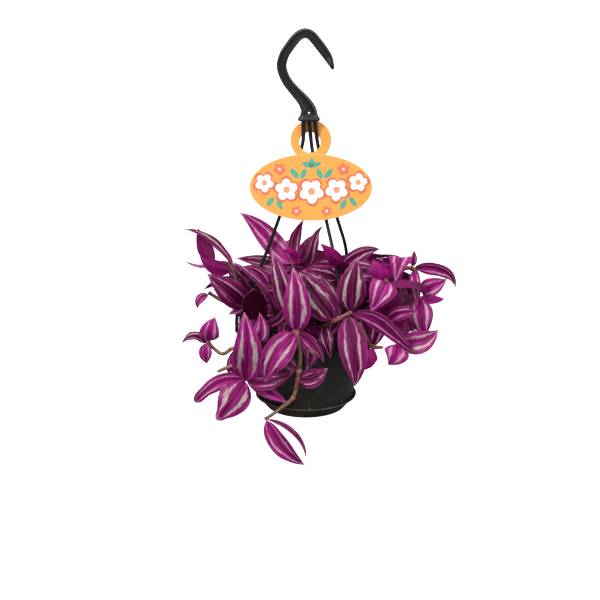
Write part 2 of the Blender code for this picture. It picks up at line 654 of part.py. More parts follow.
def blade(name, swing=0.0, roll_more=0.0):
    """Rows of (point, up) over the middle of a blade, from base to tip, swung and rolled from rest."""
    _, _, width, roll, fold, facing = LEAVES[name]
    turn = math.radians(facing)
    outward = Vector((math.sin(turn), -math.cos(turn), LEAF_UPWARD)).normalized()
    route = midrib(name)
    far = (route[-1] - route[0]).length
    route = [p + outward * swing * min(1.0, (p - route[0]).length / (0.6 * far)) for p in route]
    rows = []
    step = 0.01
    slope = math.radians(fold)
    for r in range(LEAF_ROWS):
        t = r / (LEAF_ROWS - 1)
        spot = through(route, t)
        along = (through(route, t + step) - through(route, t - step)).normalized()
        up = (outward - along * outward.dot(along)).normalized()
        up = Matrix.Rotation(math.radians(roll + roll_more), 3, along) @ up
        side = along.cross(up)
        half = max(width * MM / 2 * blade_outline(min(max(t, LEAF_END), 1 - LEAF_END)), LEAF_LEAST_HALF)
        row = []
        for c in range(LEAF_COLUMNS):
            u = 2 * c / (LEAF_COLUMNS - 1) - 1
            row.append((spot + side * u * half * math.cos(slope) + up * abs(u) * half * math.sin(slope), up))
        rows.append(row)
    return rows


def blade_body(rows, thickness):
    """Points and faces of a closed thin solid over a blade's rows."""
    points = []
    faces = []
    for side in (0.5, -0.5):
        for row in rows:
            points += [p + up * side * thickness for p, up in row]
    wide = len(rows[0])
    layer = wide * len(rows)
    for r in range(len(rows) - 1):
        for c in range(wide - 1):
            a = r * wide + c
            faces.append([a, a + 1, a + 1 + wide, a + wide])
            faces.append([layer + a + wide, layer + a + 1 + wide, layer + a + 1, layer + a])
    rim = list(range(wide)) + [r * wide + wide - 1 for r in range(1, len(rows))]
    rim += [layer - 1 - c for c in range(1, wide)] + [r * wide for r in range(len(rows) - 2, 0, -1)]
    for a, b in zip(rim, rim[1:] + rim[:1]):
        faces.append([a, a + layer, b + layer, b])
    return points, faces


def tree_of(body):
    """A search tree of an object's finished faces in world space."""
    graph = bpy.context.evaluated_depsgraph_get()
    mesh = body.evaluated_get(graph).to_mesh()
    points = [body.matrix_world @ v.co for v in mesh.vertices]
    return BVHTree.FromPolygons(points, [list(p.vertices) for p in mesh.polygons])


def settle(name, placed):
    """The first swing and roll at which a leaf, with clearance round it, meets nothing placed before."""
    choices = [(swing, roll) for swing in SWINGS for roll in ROLLS]
    choices.sort(key=lambda c: abs(c[0]) + 0.25 * abs(c[1]))
    for swing, roll in choices:
        rows = blade(name, swing * MM, roll)
        points, faces = blade_body(rows, LEAF_THICKNESS + 2 * GAP)
        tree = BVHTree.FromPolygons(points, faces)
        if not any(tree.overlap(other) for other in placed):
            return swing, roll
    print("no clear place for", name)
    return 0, 0


def make_leaves(placed, look):
    for name in LEAVES:
        swing, roll = settle(name, placed)
        if swing or roll:
            print(name, "swung", swing, "mm and rolled", roll, "degrees")
        points, faces = blade_body(blade(name, swing * MM, roll), LEAF_THICKNESS)
        placed.append(BVHTree.FromPolygons(points, faces))
        add_object(name, points, faces, look)


def clear_scene():
    for body in list(bpy.data.objects):
        bpy.data.objects.remove(body)


def main():
    clear_scene()
    plastic = material("black pot plastic", "#2A2A2A", 0.45)
    saucer_plastic = material("dark saucer plastic", "#2B2622", 0.5)
    hanger_plastic = material("blue-black hanger plastic", "#262A30", 0.4)
    card = material("orange tag card", "#FFB455", 0.5)
    earth = material("potting soil", "#2E2018", 0.95)
    stem_green = material("tan pink stem", "#A08060", 0.5)
    leaf_purple = material("purple striped leaf", "#7A2468", 0.4)
    solids = [make_pot(plastic), make_saucer(saucer_plastic), make_soil(earth), make_hook(hanger_plastic)]
    solids += [make_strand(name, hanger_plastic) for name in STRANDS]
    solids.append(make_tag(card))
    solids += [make_stem(name, stem_green) for name in STEMS]
    bpy.context.view_layer.update()
    make_leaves([tree_of(body) for body in solids], leaf_purple)


main()
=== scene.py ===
# %% [markdown]
# This script dresses a hanging plant: a purple and silver striped tradescantia in a black nursery pot.
# The frame holds its plain solids at their real size. Blender works in metres here, with +Z up and the
# plant facing -Y. The origin is where the hook rests on its rail, so nearly every height is negative.
# Tables are in millimetres because that is how a maker would measure such a plant.

# %% Frame and units
import math
import random

import bmesh
import bpy
from mathutils import Matrix, Vector, noise
from mathutils.bvhtree import BVHTree


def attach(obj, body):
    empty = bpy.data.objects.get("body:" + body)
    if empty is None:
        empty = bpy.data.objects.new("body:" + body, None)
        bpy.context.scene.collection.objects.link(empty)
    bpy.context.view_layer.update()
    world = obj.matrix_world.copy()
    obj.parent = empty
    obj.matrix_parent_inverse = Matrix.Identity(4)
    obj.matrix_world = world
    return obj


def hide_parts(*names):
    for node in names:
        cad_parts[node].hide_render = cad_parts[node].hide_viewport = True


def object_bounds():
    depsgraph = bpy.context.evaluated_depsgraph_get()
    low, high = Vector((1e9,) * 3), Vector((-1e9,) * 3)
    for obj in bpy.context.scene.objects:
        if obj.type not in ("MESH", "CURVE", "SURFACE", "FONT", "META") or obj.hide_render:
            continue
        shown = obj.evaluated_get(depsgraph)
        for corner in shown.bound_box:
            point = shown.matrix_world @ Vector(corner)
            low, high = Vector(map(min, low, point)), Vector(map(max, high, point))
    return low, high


MM = 0.001
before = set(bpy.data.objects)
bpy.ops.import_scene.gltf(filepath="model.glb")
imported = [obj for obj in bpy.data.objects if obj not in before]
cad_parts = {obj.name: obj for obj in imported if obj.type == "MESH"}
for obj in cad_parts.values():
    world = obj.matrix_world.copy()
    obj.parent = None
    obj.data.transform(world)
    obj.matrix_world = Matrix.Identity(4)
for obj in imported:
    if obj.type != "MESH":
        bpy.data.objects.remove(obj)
cad_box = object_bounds()
print("frame holds", len(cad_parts), "nodes")


def in_metres(points):
    return [Vector(p) * MM for p in points]


# %% [markdown]
# Colours are easiest to judge as the hex values that a colour picker gives. Those are sRGB, which is
# curved to suit the eye, while the renderer adds up light in linear values. One function turns one
# into the other, and every colour below goes through it.

# %% Colour
def linear(hex_colour):
    """sRGB hex to linear RGBA."""
    value = [int(hex_colour[i:i + 2], 16) / 255 for i in (1, 3, 5)]
    return [c / 12.92 if c <= 0.04045 else ((c + 0.055) / 1.055) ** 2.4 for c in value] + [1.0]


# %% [markdown]
# The plant was photographed from a little above with a long lens, which keeps the near leaves from
# looming. A lens of about 107 mm at a metre and a half does the same. The view transform is Standard,
# because the softer film-like one would grey the magenta.

# %% Camera
LENS_MM = 106.7
CAMERA_PLACE = (-0.0052, -1.498, 0.2514)
CAMERA_TILT = math.radians(72.1)

camera_data = bpy.data.cameras.new("camera")
camera_data.lens = LENS_MM
camera_data.sensor_width = 36.0
camera = bpy.data.objects.new("camera", camera_data)
camera.location = CAMERA_PLACE
camera.rotation_euler = (CAMERA_TILT, 0, 0)
bpy.context.scene.collection.objects.link(camera)
bpy.context.scene.camera = camera
bpy.context.scene.view_settings.view_transform = "Standard"
print("camera looks down", round(90 - math.degrees(CAMERA_TILT), 1), "degrees")

# %% [markdown]
# In a product studio the light comes mostly from above: a wide soft source overhead, less from the
# sides and little from below, so leaves that hang shade the ones behind. A world that brightens with
# height does that. A large lamp on the upper left adds a direction. The floor is a lit white sheet,
# as used to photograph goods on pure white. It is kept out of the light that reaches the plant.

# %% Light and floor
FLOOR_HEIGHT = -1.2
FLOOR_SIZE = 60.0
SKY_LOW = 0.12
SKY_HIGH = 1.15


def node(look, kind, values=None, **settings):
    """Adds a node. Values maps an input to a number, a colour or the output that feeds it."""
    made = look.node_tree.nodes.new("ShaderNode" + kind)
    for key, value in settings.items():
        setattr(made, key, value)
    for key, value in (values or {}).items():
        if isinstance(value, bpy.types.NodeSocket):
            look.node_tree.links.new(value, made.inputs[key])
        else:
            made.inputs[key].default_value = value
    return made


world = bpy.data.worlds.new("overhead light")
world.use_nodes = True
direction = node(world, "SeparateXYZ", {0: node(world, "TexCoord").outputs["Generated"]})
sky = node(world, "MapRange", {"Value": direction.outputs[2], "From Min": -0.6, "From Max": 0.9,
                               "To Min": SKY_LOW, "To Max": SKY_HIGH}, interpolation_type="SMOOTHSTEP")
world.node_tree.links.new(sky.outputs["Result"], world.node_tree.nodes["Background"].inputs["Strength"])
world.node_tree.nodes["Background"].inputs["Color"].default_value = linear("#FFFFFF")
bpy.context.scene.world = world


def add_lamp(name, place, size, watts):
    """A square soft lamp that points at the middle of the plant."""
    data = bpy.data.lights.new(name, "AREA")
    data.size = size
    data.energy = watts
    lamp = bpy.data.objects.new(name, data)
    lamp.location = place
    aim = Vector((0.0, 0.0, -0.22)) - lamp.location
    lamp.rotation_euler = aim.to_track_quat("-Z", "Y").to_euler()
    bpy.context.scene.collection.objects.link(lamp)


add_lamp("key_lamp", (-0.7, -1.0, 0.8), 0.5, 16.0)
add_lamp("fill_lamp", (1.2, -0.9, 0.2), 0.8, 5.0)

# The sheet lies flat and rolls up into a wall all round, as a studio's cove does
cove = [(FLOOR_SIZE * 0.3, 0.0), (FLOOR_SIZE * 0.42, 1.5), (FLOOR_SIZE * 0.48, 6.0), (FLOOR_SIZE * 0.5, 30.0)]
COVE_SIDES = 64
cove_points = [(0.0, 0.0, 0.0)]
cove_faces = []
for radius, height in cove:
    for k in range(COVE_SIDES):
        angle = 2 * math.pi * k / COVE_SIDES
        cove_points.append((radius * math.cos(angle), radius * math.sin(angle), height))
for k in range(COVE_SIDES):
    n = (k + 1) % COVE_SIDES
    cove_faces.append((0, 1 + k, 1 + n))
    for ring in range(len(cove) - 1):
        a = 1 + ring * COVE_SIDES
        cove_faces.append((a + k, a + COVE_SIDES + k, a + COVE_SIDES + n, a + n))
floor_mesh = bpy.data.meshes.new("floor")
floor_mesh.from_pydata(cove_points, [], cove_faces)
floor = bpy.data.objects.new("floor", floor_mesh)
floor.location.z = FLOOR_HEIGHT
floor.visible_diffuse = False
floor.visible_glossy = False
floor.visible_shadow = False
bpy.context.scene.collection.objects.link(floor)
print("floor at", FLOOR_HEIGHT, "m")

# %% [markdown]
# A material is a small tree of nodes. One function adds a node, sets its values and joins it to the
# nodes it reads, so each recipe below reads from top to bottom. Patterns are laid out in millimetres:
# the object's own coordinates, in metres, are multiplied by 1000 first.

# %% Material helpers
def new_material(name):
    made = bpy.data.materials.new(name)
    made.use_nodes = True
    return made, made.node_tree.nodes["Principled BSDF"]


def set_shader(look, shader, values):
    for key, value in values.items():
        if isinstance(value, bpy.types.NodeSocket):
            look.node_tree.links.new(value, shader.inputs[key])
        else:
            shader.inputs[key].default_value = value


def millimetres(look):
    """The object's coordinates in millimetres."""
    place = node(look, "TexCoord").outputs["Object"]
    return node(look, "VectorMath", {0: place, 1: (1000, 1000, 1000)}, operation="MULTIPLY").outputs["Vector"]


def speckle(look, vector, scale, detail=2.0):
    return node(look, "TexNoise", {"Vector": vector, "Scale": scale, "Detail": detail}).outputs["Fac"]


def blend(look, share, first, second):
    """A colour between two, each a hex value or another node's output."""
    ends = [linear(c) if isinstance(c, str) else c for c in (first, second)]
    made = node(look, "Mix", {"Factor": share, "A": ends[0], "B": ends[1]}, data_type="RGBA")
    return made.outputs["Result"]


def ramp(look, value, low, high, start=0.0, end=1.0):
    """Maps low..high to start..end with soft ends."""
    made = node(look, "MapRange", {"Value": value, "From Min": low, "From Max": high,
                                   "To Min": start, "To Max": end}, interpolation_type="SMOOTHSTEP")
    return made.outputs["Result"]


def sums(look, operation, *values):
    """One arithmetic step on numbers or outputs."""
    return node(look, "Math", dict(enumerate(values)), operation=operation).outputs["Value"]


floor_look, floor_shader = new_material("lit white acrylic sheet")
floor_grain = speckle(floor_look, millimetres(floor_look), 0.01)
set_shader(floor_look, floor_shader, {
    "Base Color": blend(floor_look, floor_grain, "#F4F4F3", "#FAFAFA"),
    "Roughness": 0.9,
    "Emission Color": linear("#FFFFFF"),
    "Emission Strength": 0.8})
floor_mesh.materials.append(floor_look)
print("material helpers ready")

# %% [markdown]
# The pot is polypropylene: a cheap, tough plastic that is injection moulded in black. Its mould is
# lightly sparked, which leaves a fine matt grain, and a used pot is dusted with dry soil and has a
# few pale splashes of potting mix stuck to it. The saucer is the same plastic, browner with dust.

# %% Polypropylene
def sparked_plastic(name, dark, light, dust, dust_share, roughness, gloss=0.25):
    """Moulded plastic with a fine grain and a thin patchy film of dust."""
    look, shader = new_material(name)
    place = millimetres(look)
    grain = speckle(look, place, 3.0)
    patches = speckle(look, place, 0.06, 5.0)
    film = sums(look, "MULTIPLY", ramp(look, patches, 0.45, 0.75), dust_share)
    body = blend(look, grain, dark, light)
    bump = node(look, "Bump", {"Strength": 0.12, "Distance": 0.0002, "Height": grain})
    set_shader(look, shader, {
        "Base Color": blend(look, film, body, dust),
        "Roughness": ramp(look, patches, 0.3, 0.8, roughness, roughness + 0.15),
        "Specular IOR Level": gloss,
        "Normal": bump.outputs["Normal"]})
    return look


pot_plastic = sparked_plastic("black sparked polypropylene", "#252523", "#31312E", "#4E4A42", 0.35, 0.42)
saucer_plastic = sparked_plastic("dusty brown-black polypropylene", "#1B1815", "#2A2620", "#5A5144", 0.55, 0.5)
# The saucer's rim top is lighter: scuffs and dust, and a painted highlight where the overhead light catches the
# rolled rim
rim_dust_and_highlight = sparked_plastic("scuffed polypropylene rim", "#3A362F", "#4A453C", "#6A6252", 0.5, 0.5)
hanger_plastic = sparked_plastic("blue-black hanger polypropylene", "#121519", "#1A1E23", "#33383E", 0.12, 0.3,
                                 gloss=0.6)
# The strands are the hanger's own plastic with a lower gloss and a darker colour, which is painted shade
shaded_strand_plastic = sparked_plastic("strand polypropylene with painted shade", "#0D0F12", "#15181C", "#24282C", 0.1, 0.45,
                                 gloss=0.3)
print("plastics made")

# %% [markdown]
# Every piece is a closed mesh, as a moulding or a leaf is. One function turns points and faces into a
# piece that rides on the frame and stands for the plain solid where there is one.
# Two more give the shapes that most of the hanger, the pot and the stems share: a profile turned
# round an axis, and a section swept along a line.

# %% Mesh helpers
def add_piece(name, points, faces, looks, slot, stands_for=(), face_looks=None, sharp=40.0):
    """A closed mesh with its normals outward, riding on the frame."""
    mesh = bpy.data.meshes.new(name)
    mesh.from_pydata(points, [], faces)
    for look in looks:
        mesh.materials.append(look)
    if face_looks:
        mesh.polygons.foreach_set("material_index", face_looks)
    work = bmesh.new()
    work.from_mesh(mesh)
    bmesh.ops.recalc_face_normals(work, faces=work.faces)
    if work.calc_volume(signed=True) < 0:
        bmesh.ops.reverse_faces(work, faces=work.faces)
    work.to_mesh(mesh)
    work.free()
    mesh.shade_smooth()
    mesh.set_sharp_from_angle(angle=math.radians(sharp))
    piece = bpy.data.objects.new(name, mesh)
    bpy.context.scene.collection.objects.link(piece)
    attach(piece, "root")
    if stands_for:
        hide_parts(*stands_for)
    return piece


def turned(profile, segments, stretch_y=1.0, centre_x=0.0):
    """Points and faces of a profile of (radius, height) turned round the Z axis."""
    points = []
    faces = []
    rings = []
    for radius, height in profile:
        if radius < 1e-6:
            rings.append([len(points)])
            points.append((centre_x, 0.0, height))
            continue
        rings.append(list(range(len(points), len(points) + segments)))
        for k in range(segments):
            angle = 2 * math.pi * k / segments
            x = centre_x + radius * math.cos(angle)
            points.append((x, radius * math.sin(angle) * stretch_y, height))
    for low, high in zip(rings, rings[1:]):
        for k in range(segments):
            n = (k + 1) % segments
            corners = [low[k % len(low)], low[n % len(low)], high[n % len(high)], high[k % len(high)]]
            faces.append(list(dict.fromkeys(corners)))
    return points, faces


def tangents(line):
    last = len(line) - 1
    return [(line[min(k + 1, last)] - line[max(k - 1, 0)]).normalized() for k in range(last + 1)]


def sweep(line, sections, side_hint):
    """Points and faces of a closed tube with a section of (across, up) offsets at each point of a line."""
    points = []
    faces = []
    across = side_hint
    size = len(sections[0])
    for centre, along, section in zip(line, tangents(line), sections):
        across = (across - along * across.dot(along)).normalized()
        up = along.cross(across)
        points += [centre + across * a + up * b for a, b in section]
    for ring in range(len(line) - 1):
        for k in range(size):
            n = (k + 1) % size
            a = ring * size
            faces.append([a + k, a + n, a + n + size, a + k + size])
    faces.append(list(range(size)))
    faces.append(list(range(len(points) - size, len(points))))
    return points, faces


def spline(points, spacing):
    """Points about a spacing apart on a smooth curve through all the given points."""
    ends = [points[0] * 2 - points[1]] + list(points) + [points[-1] * 2 - points[-2]]
    line = [points[0]]
    for a, b, c, d in zip(ends, ends[1:], ends[2:], ends[3:]):
        reach = (c - b).length
        leave = (c - a).normalized() * reach
        arrive = (d - b).normalized() * reach
        steps = max(1, round(reach / spacing))
        for k in range(1, steps + 1):
            t = k / steps
            ahead = t * t * (3 - 2 * t)
            line.append(b * (1 - ahead) + c * ahead + leave * t * (1 - t) ** 2 - arrive * t * t * (1 - t))
    return line


def rounded(points, size, steps=3):
    """A profile of (radius, height) points with each inner corner cut by a small curve."""
    made = [points[0]]
    for a, b, c in zip(points, points[1:], points[2:]):
        corner_at = Vector(b)
        before = Vector(a) - corner_at
        after = Vector(c) - corner_at
        cut = min(size, before.length * 0.45, after.length * 0.45)
        start = corner_at + before.normalized() * cut
        end = corner_at + after.normalized() * cut
        for k in range(steps + 1):
            t = k / steps
            spot = start * (1 - t) ** 2 + corner_at * 2 * t * (1 - t) + end * t * t
            made.append((spot.x, spot.y))
    return made + [points[-1]]


print("mesh helpers ready")

# %% [markdown]
# The pot is a 12 cm nursery pot: a thin tapered wall, a stiff lip that steps out near the top and a
# chamfered foot. A turned profile is the natural way to draw it, and every edge of the profile gets a
# small radius, because a mould has no knife edges. The drain holes are cut with a Boolean.

# %% Pot
POT_TOP = -249.0 * MM
POT_HEIGHT = 80.0 * MM
LIP_RADIUS = 59.5 * MM
LIP_HEIGHT = 10.0 * MM
LIP_STEP = 4.0 * MM
WALL_FOOT_RADIUS = 41.5 * MM
POT_WALL = 1.6 * MM
FOOT_RADIUS = 32.0 * MM
FOOT_CHAMFER = 8.0 * MM
DRAIN_RADIUS = 3.0 * MM
DRAIN_CIRCLE = 21.0 * MM
DRAIN_COUNT = 4
GAP = 0.35 * MM
ROUND_SEGMENTS = 160


def cut(piece, points, faces, name, operation="DIFFERENCE"):
    """Keeps a hidden cutter in the scene and cuts the piece with it."""
    mesh = bpy.data.meshes.new(name)
    mesh.from_pydata(points, [], faces)
    work = bmesh.new()
    work.from_mesh(mesh)
    bmesh.ops.recalc_face_normals(work, faces=work.faces)
    work.to_mesh(mesh)
    work.free()
    mesh.shade_smooth()
    tool = bpy.data.objects.new(name, mesh)
    bpy.context.scene.collection.objects.link(tool)
    tool.hide_render = True
    tool.display_type = "WIRE"
    change = piece.modifiers.new(name, "BOOLEAN")
    change.operation = operation
    change.object = tool
    return tool


lip_low = POT_TOP - LIP_HEIGHT
wall_low = POT_TOP - POT_HEIGHT + FOOT_CHAMFER
pot_base = POT_TOP - POT_HEIGHT
pot_floor = pot_base + POT_WALL * 1.5
wall_top = LIP_RADIUS - LIP_STEP
pot_profile = [
    (0.0, pot_base), (FOOT_RADIUS, pot_base), (WALL_FOOT_RADIUS, wall_low), (wall_top, lip_low),
    (LIP_RADIUS, lip_low), (LIP_RADIUS, POT_TOP), (LIP_RADIUS - POT_WALL, POT_TOP),
    (LIP_RADIUS - POT_WALL, lip_low + POT_WALL), (wall_top - POT_WALL, lip_low),
    (WALL_FOOT_RADIUS - POT_WALL, wall_low + POT_WALL * 0.5), (FOOT_RADIUS - POT_WALL, pot_floor),
    (0.0, pot_floor)]
pot = add_piece("nursery_pot", *turned(rounded(pot_profile, 0.8 * MM), ROUND_SEGMENTS), [pot_plastic],
                "pot_plastic", ["pot"], sharp=50)
for k in range(DRAIN_COUNT):
    angle = math.pi / 4 + 2 * math.pi * k / DRAIN_COUNT
    drain_profile = [(0, pot_base - 5 * MM), (DRAIN_RADIUS, pot_base - 5 * MM),
                     (DRAIN_RADIUS, pot_floor + 5 * MM), (0, pot_floor + 5 * MM)]
    drain = cut(pot, *turned(drain_profile, 24), f"drain_cutter_{k}")
    drain.location = (DRAIN_CIRCLE * math.cos(angle), DRAIN_CIRCLE * math.sin(angle), 0)
print("pot is", round(LIP_RADIUS * 2 / MM), "mm across the lip")

# %% [markdown]
# The saucer clips under the pot. It is a shallow flared dish with a thin rolled rim, moulded in one
# shot, so it is one more turned profile with its corners rounded.

# %% Saucer
SAUCER_RIM_RADIUS = 45.3 * MM
SAUCER_FOOT_RADIUS = 34.5 * MM
SAUCER_HEIGHT = 12.0 * MM
SAUCER_WALL = 1.5 * MM

saucer_floor = pot_base - GAP
saucer_base = saucer_floor - SAUCER_WALL
saucer_rim = saucer_base + SAUCER_HEIGHT
saucer_profile = [
    (0.0, saucer_base), (SAUCER_FOOT_RADIUS, saucer_base), (SAUCER_FOOT_RADIUS + 1.0 * MM, saucer_base + 1.0 * MM),
    (SAUCER_RIM_RADIUS - 2.2 * MM, saucer_rim - 2.0 * MM), (SAUCER_RIM_RADIUS, saucer_rim - 1.4 * MM),
    (SAUCER_RIM_RADIUS, saucer_rim), (SAUCER_RIM_RADIUS - SAUCER_WALL * 0.7, saucer_rim),
    (SAUCER_RIM_RADIUS - 2.0 * MM, saucer_rim - 1.2 * MM),
    (SAUCER_FOOT_RADIUS + 1.0 * MM, saucer_floor + 1.4 * MM),
    (SAUCER_FOOT_RADIUS - 0.5 * MM, saucer_floor), (0.0, saucer_floor)]
saucer_points, saucer_faces = turned(rounded(saucer_profile, 0.5 * MM), ROUND_SEGMENTS)
# Faces on top of the saucer's rim take the lighter rim plastic: scuffs and dust plus a painted highlight
scuffed_and_highlit = [int(min(saucer_points[k][2] for k in face) > saucer_rim - 1.3 * MM) for face in saucer_faces]
add_piece("clip_on_saucer", saucer_points, saucer_faces, [saucer_plastic, rim_dust_and_highlight], "saucer_plastic",
          ["saucer"], scuffed_and_highlit, sharp=50)
print("saucer is", round(SAUCER_RIM_RADIUS * 2 / MM), "mm across")

# %% [markdown]
# Potting mix is peat and bark crumbs with a few white grains of perlite. The top is a turned surface
# whose points are pushed up and down by noise, and loose crumbs lie on it. Little of it is seen
# between the leaves, so a few hundred crumbs are enough. Each crumb is a ball pulled out of shape.

# %% Soil
SOIL_BELOW_LIP = 11.0 * MM
SOIL_DOME = 2.0 * MM
CRUMB_COUNT = 260
PERLITE_COUNT = 34
FLECK_COUNT = 70
FLECK_SIZES = (0.22, 0.5)


def soil_top(radius):
    return POT_TOP - SOIL_BELOW_LIP + SOIL_DOME * (1 - (radius / wall_top) ** 2)


def pot_wall_radius(height):
    """Outer radius of the pot's wall below the lip."""
    share = (height - wall_low) / (lip_low - wall_low)
    return WALL_FOOT_RADIUS + (wall_top - WALL_FOOT_RADIUS) * share


def crumbs(spots, sizes, chance):
    """Points and faces of many small lumps in one mesh, each a ball pulled out of shape."""
    points = []
    faces = []
    for spot, size in zip(spots, sizes):
        work = bmesh.new()
        bmesh.ops.create_icosphere(work, subdivisions=1, radius=size)
        squash = Vector((chance.uniform(0.7, 1.3), chance.uniform(0.7, 1.3), chance.uniform(0.5, 0.9)))
        turn = Matrix.Rotation(chance.uniform(0, 6.3), 3, "Z")
        start = len(points)
        for vertex in work.verts:
            shape = vertex.co * (1 + chance.uniform(-0.2, 0.2))
            points.append(spot + turn @ Vector(a * b for a, b in zip(shape, squash)))
        faces += [[start + v.index for v in face.verts] for face in work.faces]
        work.free()
    return points, faces


def grainy(name, colours, patch_mm, roughness):
    """A rough mineral or fibrous stuff in three colours."""
    look, shader = new_material(name)
    place = millimetres(look)
    coarse = speckle(look, place, 1 / patch_mm, 3.0)
    fine = speckle(look, place, 3 / patch_mm, 3.0)
    colour = blend(look, ramp(look, coarse, 0.4, 0.6), colours[0], colours[1])
    colour = blend(look, ramp(look, fine, 0.55, 0.7), colour, colours[2])
    bump = node(look, "Bump", {"Strength": 0.6, "Distance": 0.0006, "Height": fine})
    set_shader(look, shader, {"Base Color": colour, "Roughness": roughness, "Specular IOR Level": 0.2,
                              "Normal": bump.outputs["Normal"]})
    return look


potting_mix = grainy("damp peat and bark", ["#1E130C", "#3A281B", "#5E4A2E"], 1.6, 0.95)
perlite = grainy("white perlite", ["#D9D4C8", "#B9B3A4", "#EDEAE2"], 0.8, 0.9)

soil_inner = POT_WALL + 1.5 * GAP
soil_rings = [(0.0, pot_floor + GAP), (FOOT_RADIUS - soil_inner - 1.0 * MM, pot_floor + GAP),
              (pot_wall_radius(wall_low + POT_WALL) - soil_inner, wall_low + POT_WALL),
              (pot_wall_radius(POT_TOP - SOIL_BELOW_LIP) - soil_inner, POT_TOP - SOIL_BELOW_LIP)]
edge_radius = soil_rings[-1][0]
soil_rings += [(edge_radius * (1 - k / 26), soil_top(edge_radius * (1 - k / 26))) for k in range(1, 27)]
soil_points, soil_faces = turned(soil_rings, 110)
for k, (x, y, z) in enumerate(soil_points):
    if z > soil_top(edge_radius) + 0.01 * MM:
        rough = noise.noise(Vector((x, y, z)) * 260) * 1.1 * MM + noise.noise(Vector((x, y, z)) * 800) * 0.5 * MM
        soil_points[k] = (x, y, z + rough)
add_piece("potting_mix", soil_points, soil_faces, [potting_mix], "potting_soil", ["soil"], sharp=180)

chance = random.Random(5)


def scattered(number, low, high, chance):
    """Spots on the soil with a size for each."""
    spots = []
    sizes = []
    for _ in range(number):
        size = chance.uniform(low, high) * MM
        radius = (edge_radius - size * 1.3) * math.sqrt(chance.random())
        angle = chance.uniform(0, 2 * math.pi)
        spots.append(Vector((radius * math.cos(angle), radius * math.sin(angle), soil_top(radius) + size * 0.3)))
        sizes.append(size)
    return crumbs(spots, sizes, chance)


add_piece("bark_crumbs", *scattered(CRUMB_COUNT, 0.7, 1.9, chance), [potting_mix], "potting_soil", sharp=30)
add_piece("perlite_grains", *scattered(PERLITE_COUNT, 0.5, 1.2, chance), [perlite], "potting_soil", sharp=30)

# Watering splashes grit onto the pot's wall, and it gathers low down where the saucer starts
fleck_spots = []
fleck_sizes = []
for _ in range(FLECK_COUNT):
    size = chance.uniform(*FLECK_SIZES) * MM
    height = wall_low + (lip_low - wall_low) * chance.random() ** 2
    angle = chance.uniform(0, 2 * math.pi)
    radius = pot_wall_radius(height) + size * 0.3
    fleck_spots.append(Vector((radius * math.cos(angle), radius * math.sin(angle), height)))
    fleck_sizes.append(size)
add_piece("grit_on_pot", *crumbs(fleck_spots, fleck_sizes, chance), [perlite], "potting_soil", sharp=30)
print("soil with", CRUMB_COUNT, "crumbs")

# %% [markdown]
# The hook is moulded flat and open like a comma. Its band has a half-round rim on both sides and a
# sunk face between, which saves plastic and keeps it stiff. The band swells into the collar, which
# ends in a thick bead, and narrows to a point at the tip. All of it is one section swept along a
# curve in one plane, with its width, depth and sinking read from the same table as the curve.

# %% Hook
HOOK_WEB = 2.2 * MM
HOOK_RIM = 0.62
HOOK_TROUGH = (0.4, 0.62)
COLLAR_CENTRE_X = 2.5 * MM
COLLAR_HOLE_Z = -64.0 * MM
COLLAR_HOLE_RADIUS = 0.85 * MM

# Middle line in the XZ plane, half width, half depth, and how far the face is sunk (0 to 1)
COLLAR_BEAD = [(2.5, -71.2, 7.4, 2.4, 0), (2.5, -71.0, 8.8, 3.5, 0), (2.5, -70.4, 9.4, 4.3, 0),
               (2.5, -69.2, 9.5, 4.5, 0), (2.5, -68.0, 9.2, 4.3, 0), (2.5, -67.2, 8.4, 3.7, 0.1),
               (2.5, -66.6, 7.9, 3.2, 0.8)]
HOOK_LINE = [
    (2.5, -66.2, 7.7, 3.0, 1), (2.3, -62.0, 6.8, 3.0, 1), (0.4, -57.5, 6.0, 3.0, 1), (-3.2, -52.2, 5.2, 3.0, 1),
    (-10.2, -44.4, 4.5, 3.0, 1), (-17.0, -35.4, 4.25, 3.0, 1), (-20.8, -24.0, 4.25, 3.0, 1),
    (-18.6, -14.3, 4.25, 3.0, 1), (-14.2, -7.2, 4.25, 3.0, 1), (-8.8, -0.2, 4.25, 3.0, 1),
    (-4.7, 3.2, 4.25, 3.0, 1), (-0.2, 4.25, 4.25, 3.0, 1), (4.2, 2.5, 4.25, 3.0, 1),
    (8.4, -2.2, 4.25, 3.0, 1), (13.4, -8.6, 4.25, 3.0, 1), (18.4, -15.8, 3.8, 3.0, 1),
    (20.4, -20.0, 3.0, 2.9, 0.4), (21.6, -22.7, 2.3, 2.7, 0), (22.6, -25.6, 1.4, 2.2, 0),
    (22.9, -26.6, 0.6, 1.2, 0),
]


def smooth(low, high, value):
    """0 at low, 1 at high, with soft ends."""
    t = max(0.0, min(1.0, (value - low) / (high - low)))
    return t * t * (3 - 2 * t)


def hook_section(half_width, half_depth, sunk):
    """Half-round rims with a smooth sunk face between them, on both faces."""
    front_face = []
    steps = 30
    for k in range(1, steps):
        across = -math.cos(math.pi * k / steps)
        x = abs(across)
        depth = half_depth - sunk * (half_depth - HOOK_WEB / 2) * (1 - smooth(*HOOK_TROUGH, x))
        if x > HOOK_RIM:
            depth = half_depth * math.sqrt(1 - ((x - HOOK_RIM) / (1 - HOOK_RIM)) ** 2)
        front_face.append((across * half_width, depth))
    back_face = [(a, -d) for a, d in front_face[::-1]]
    return [(-half_width, 0.0)] + front_face + [(half_width, 0.0)] + back_face


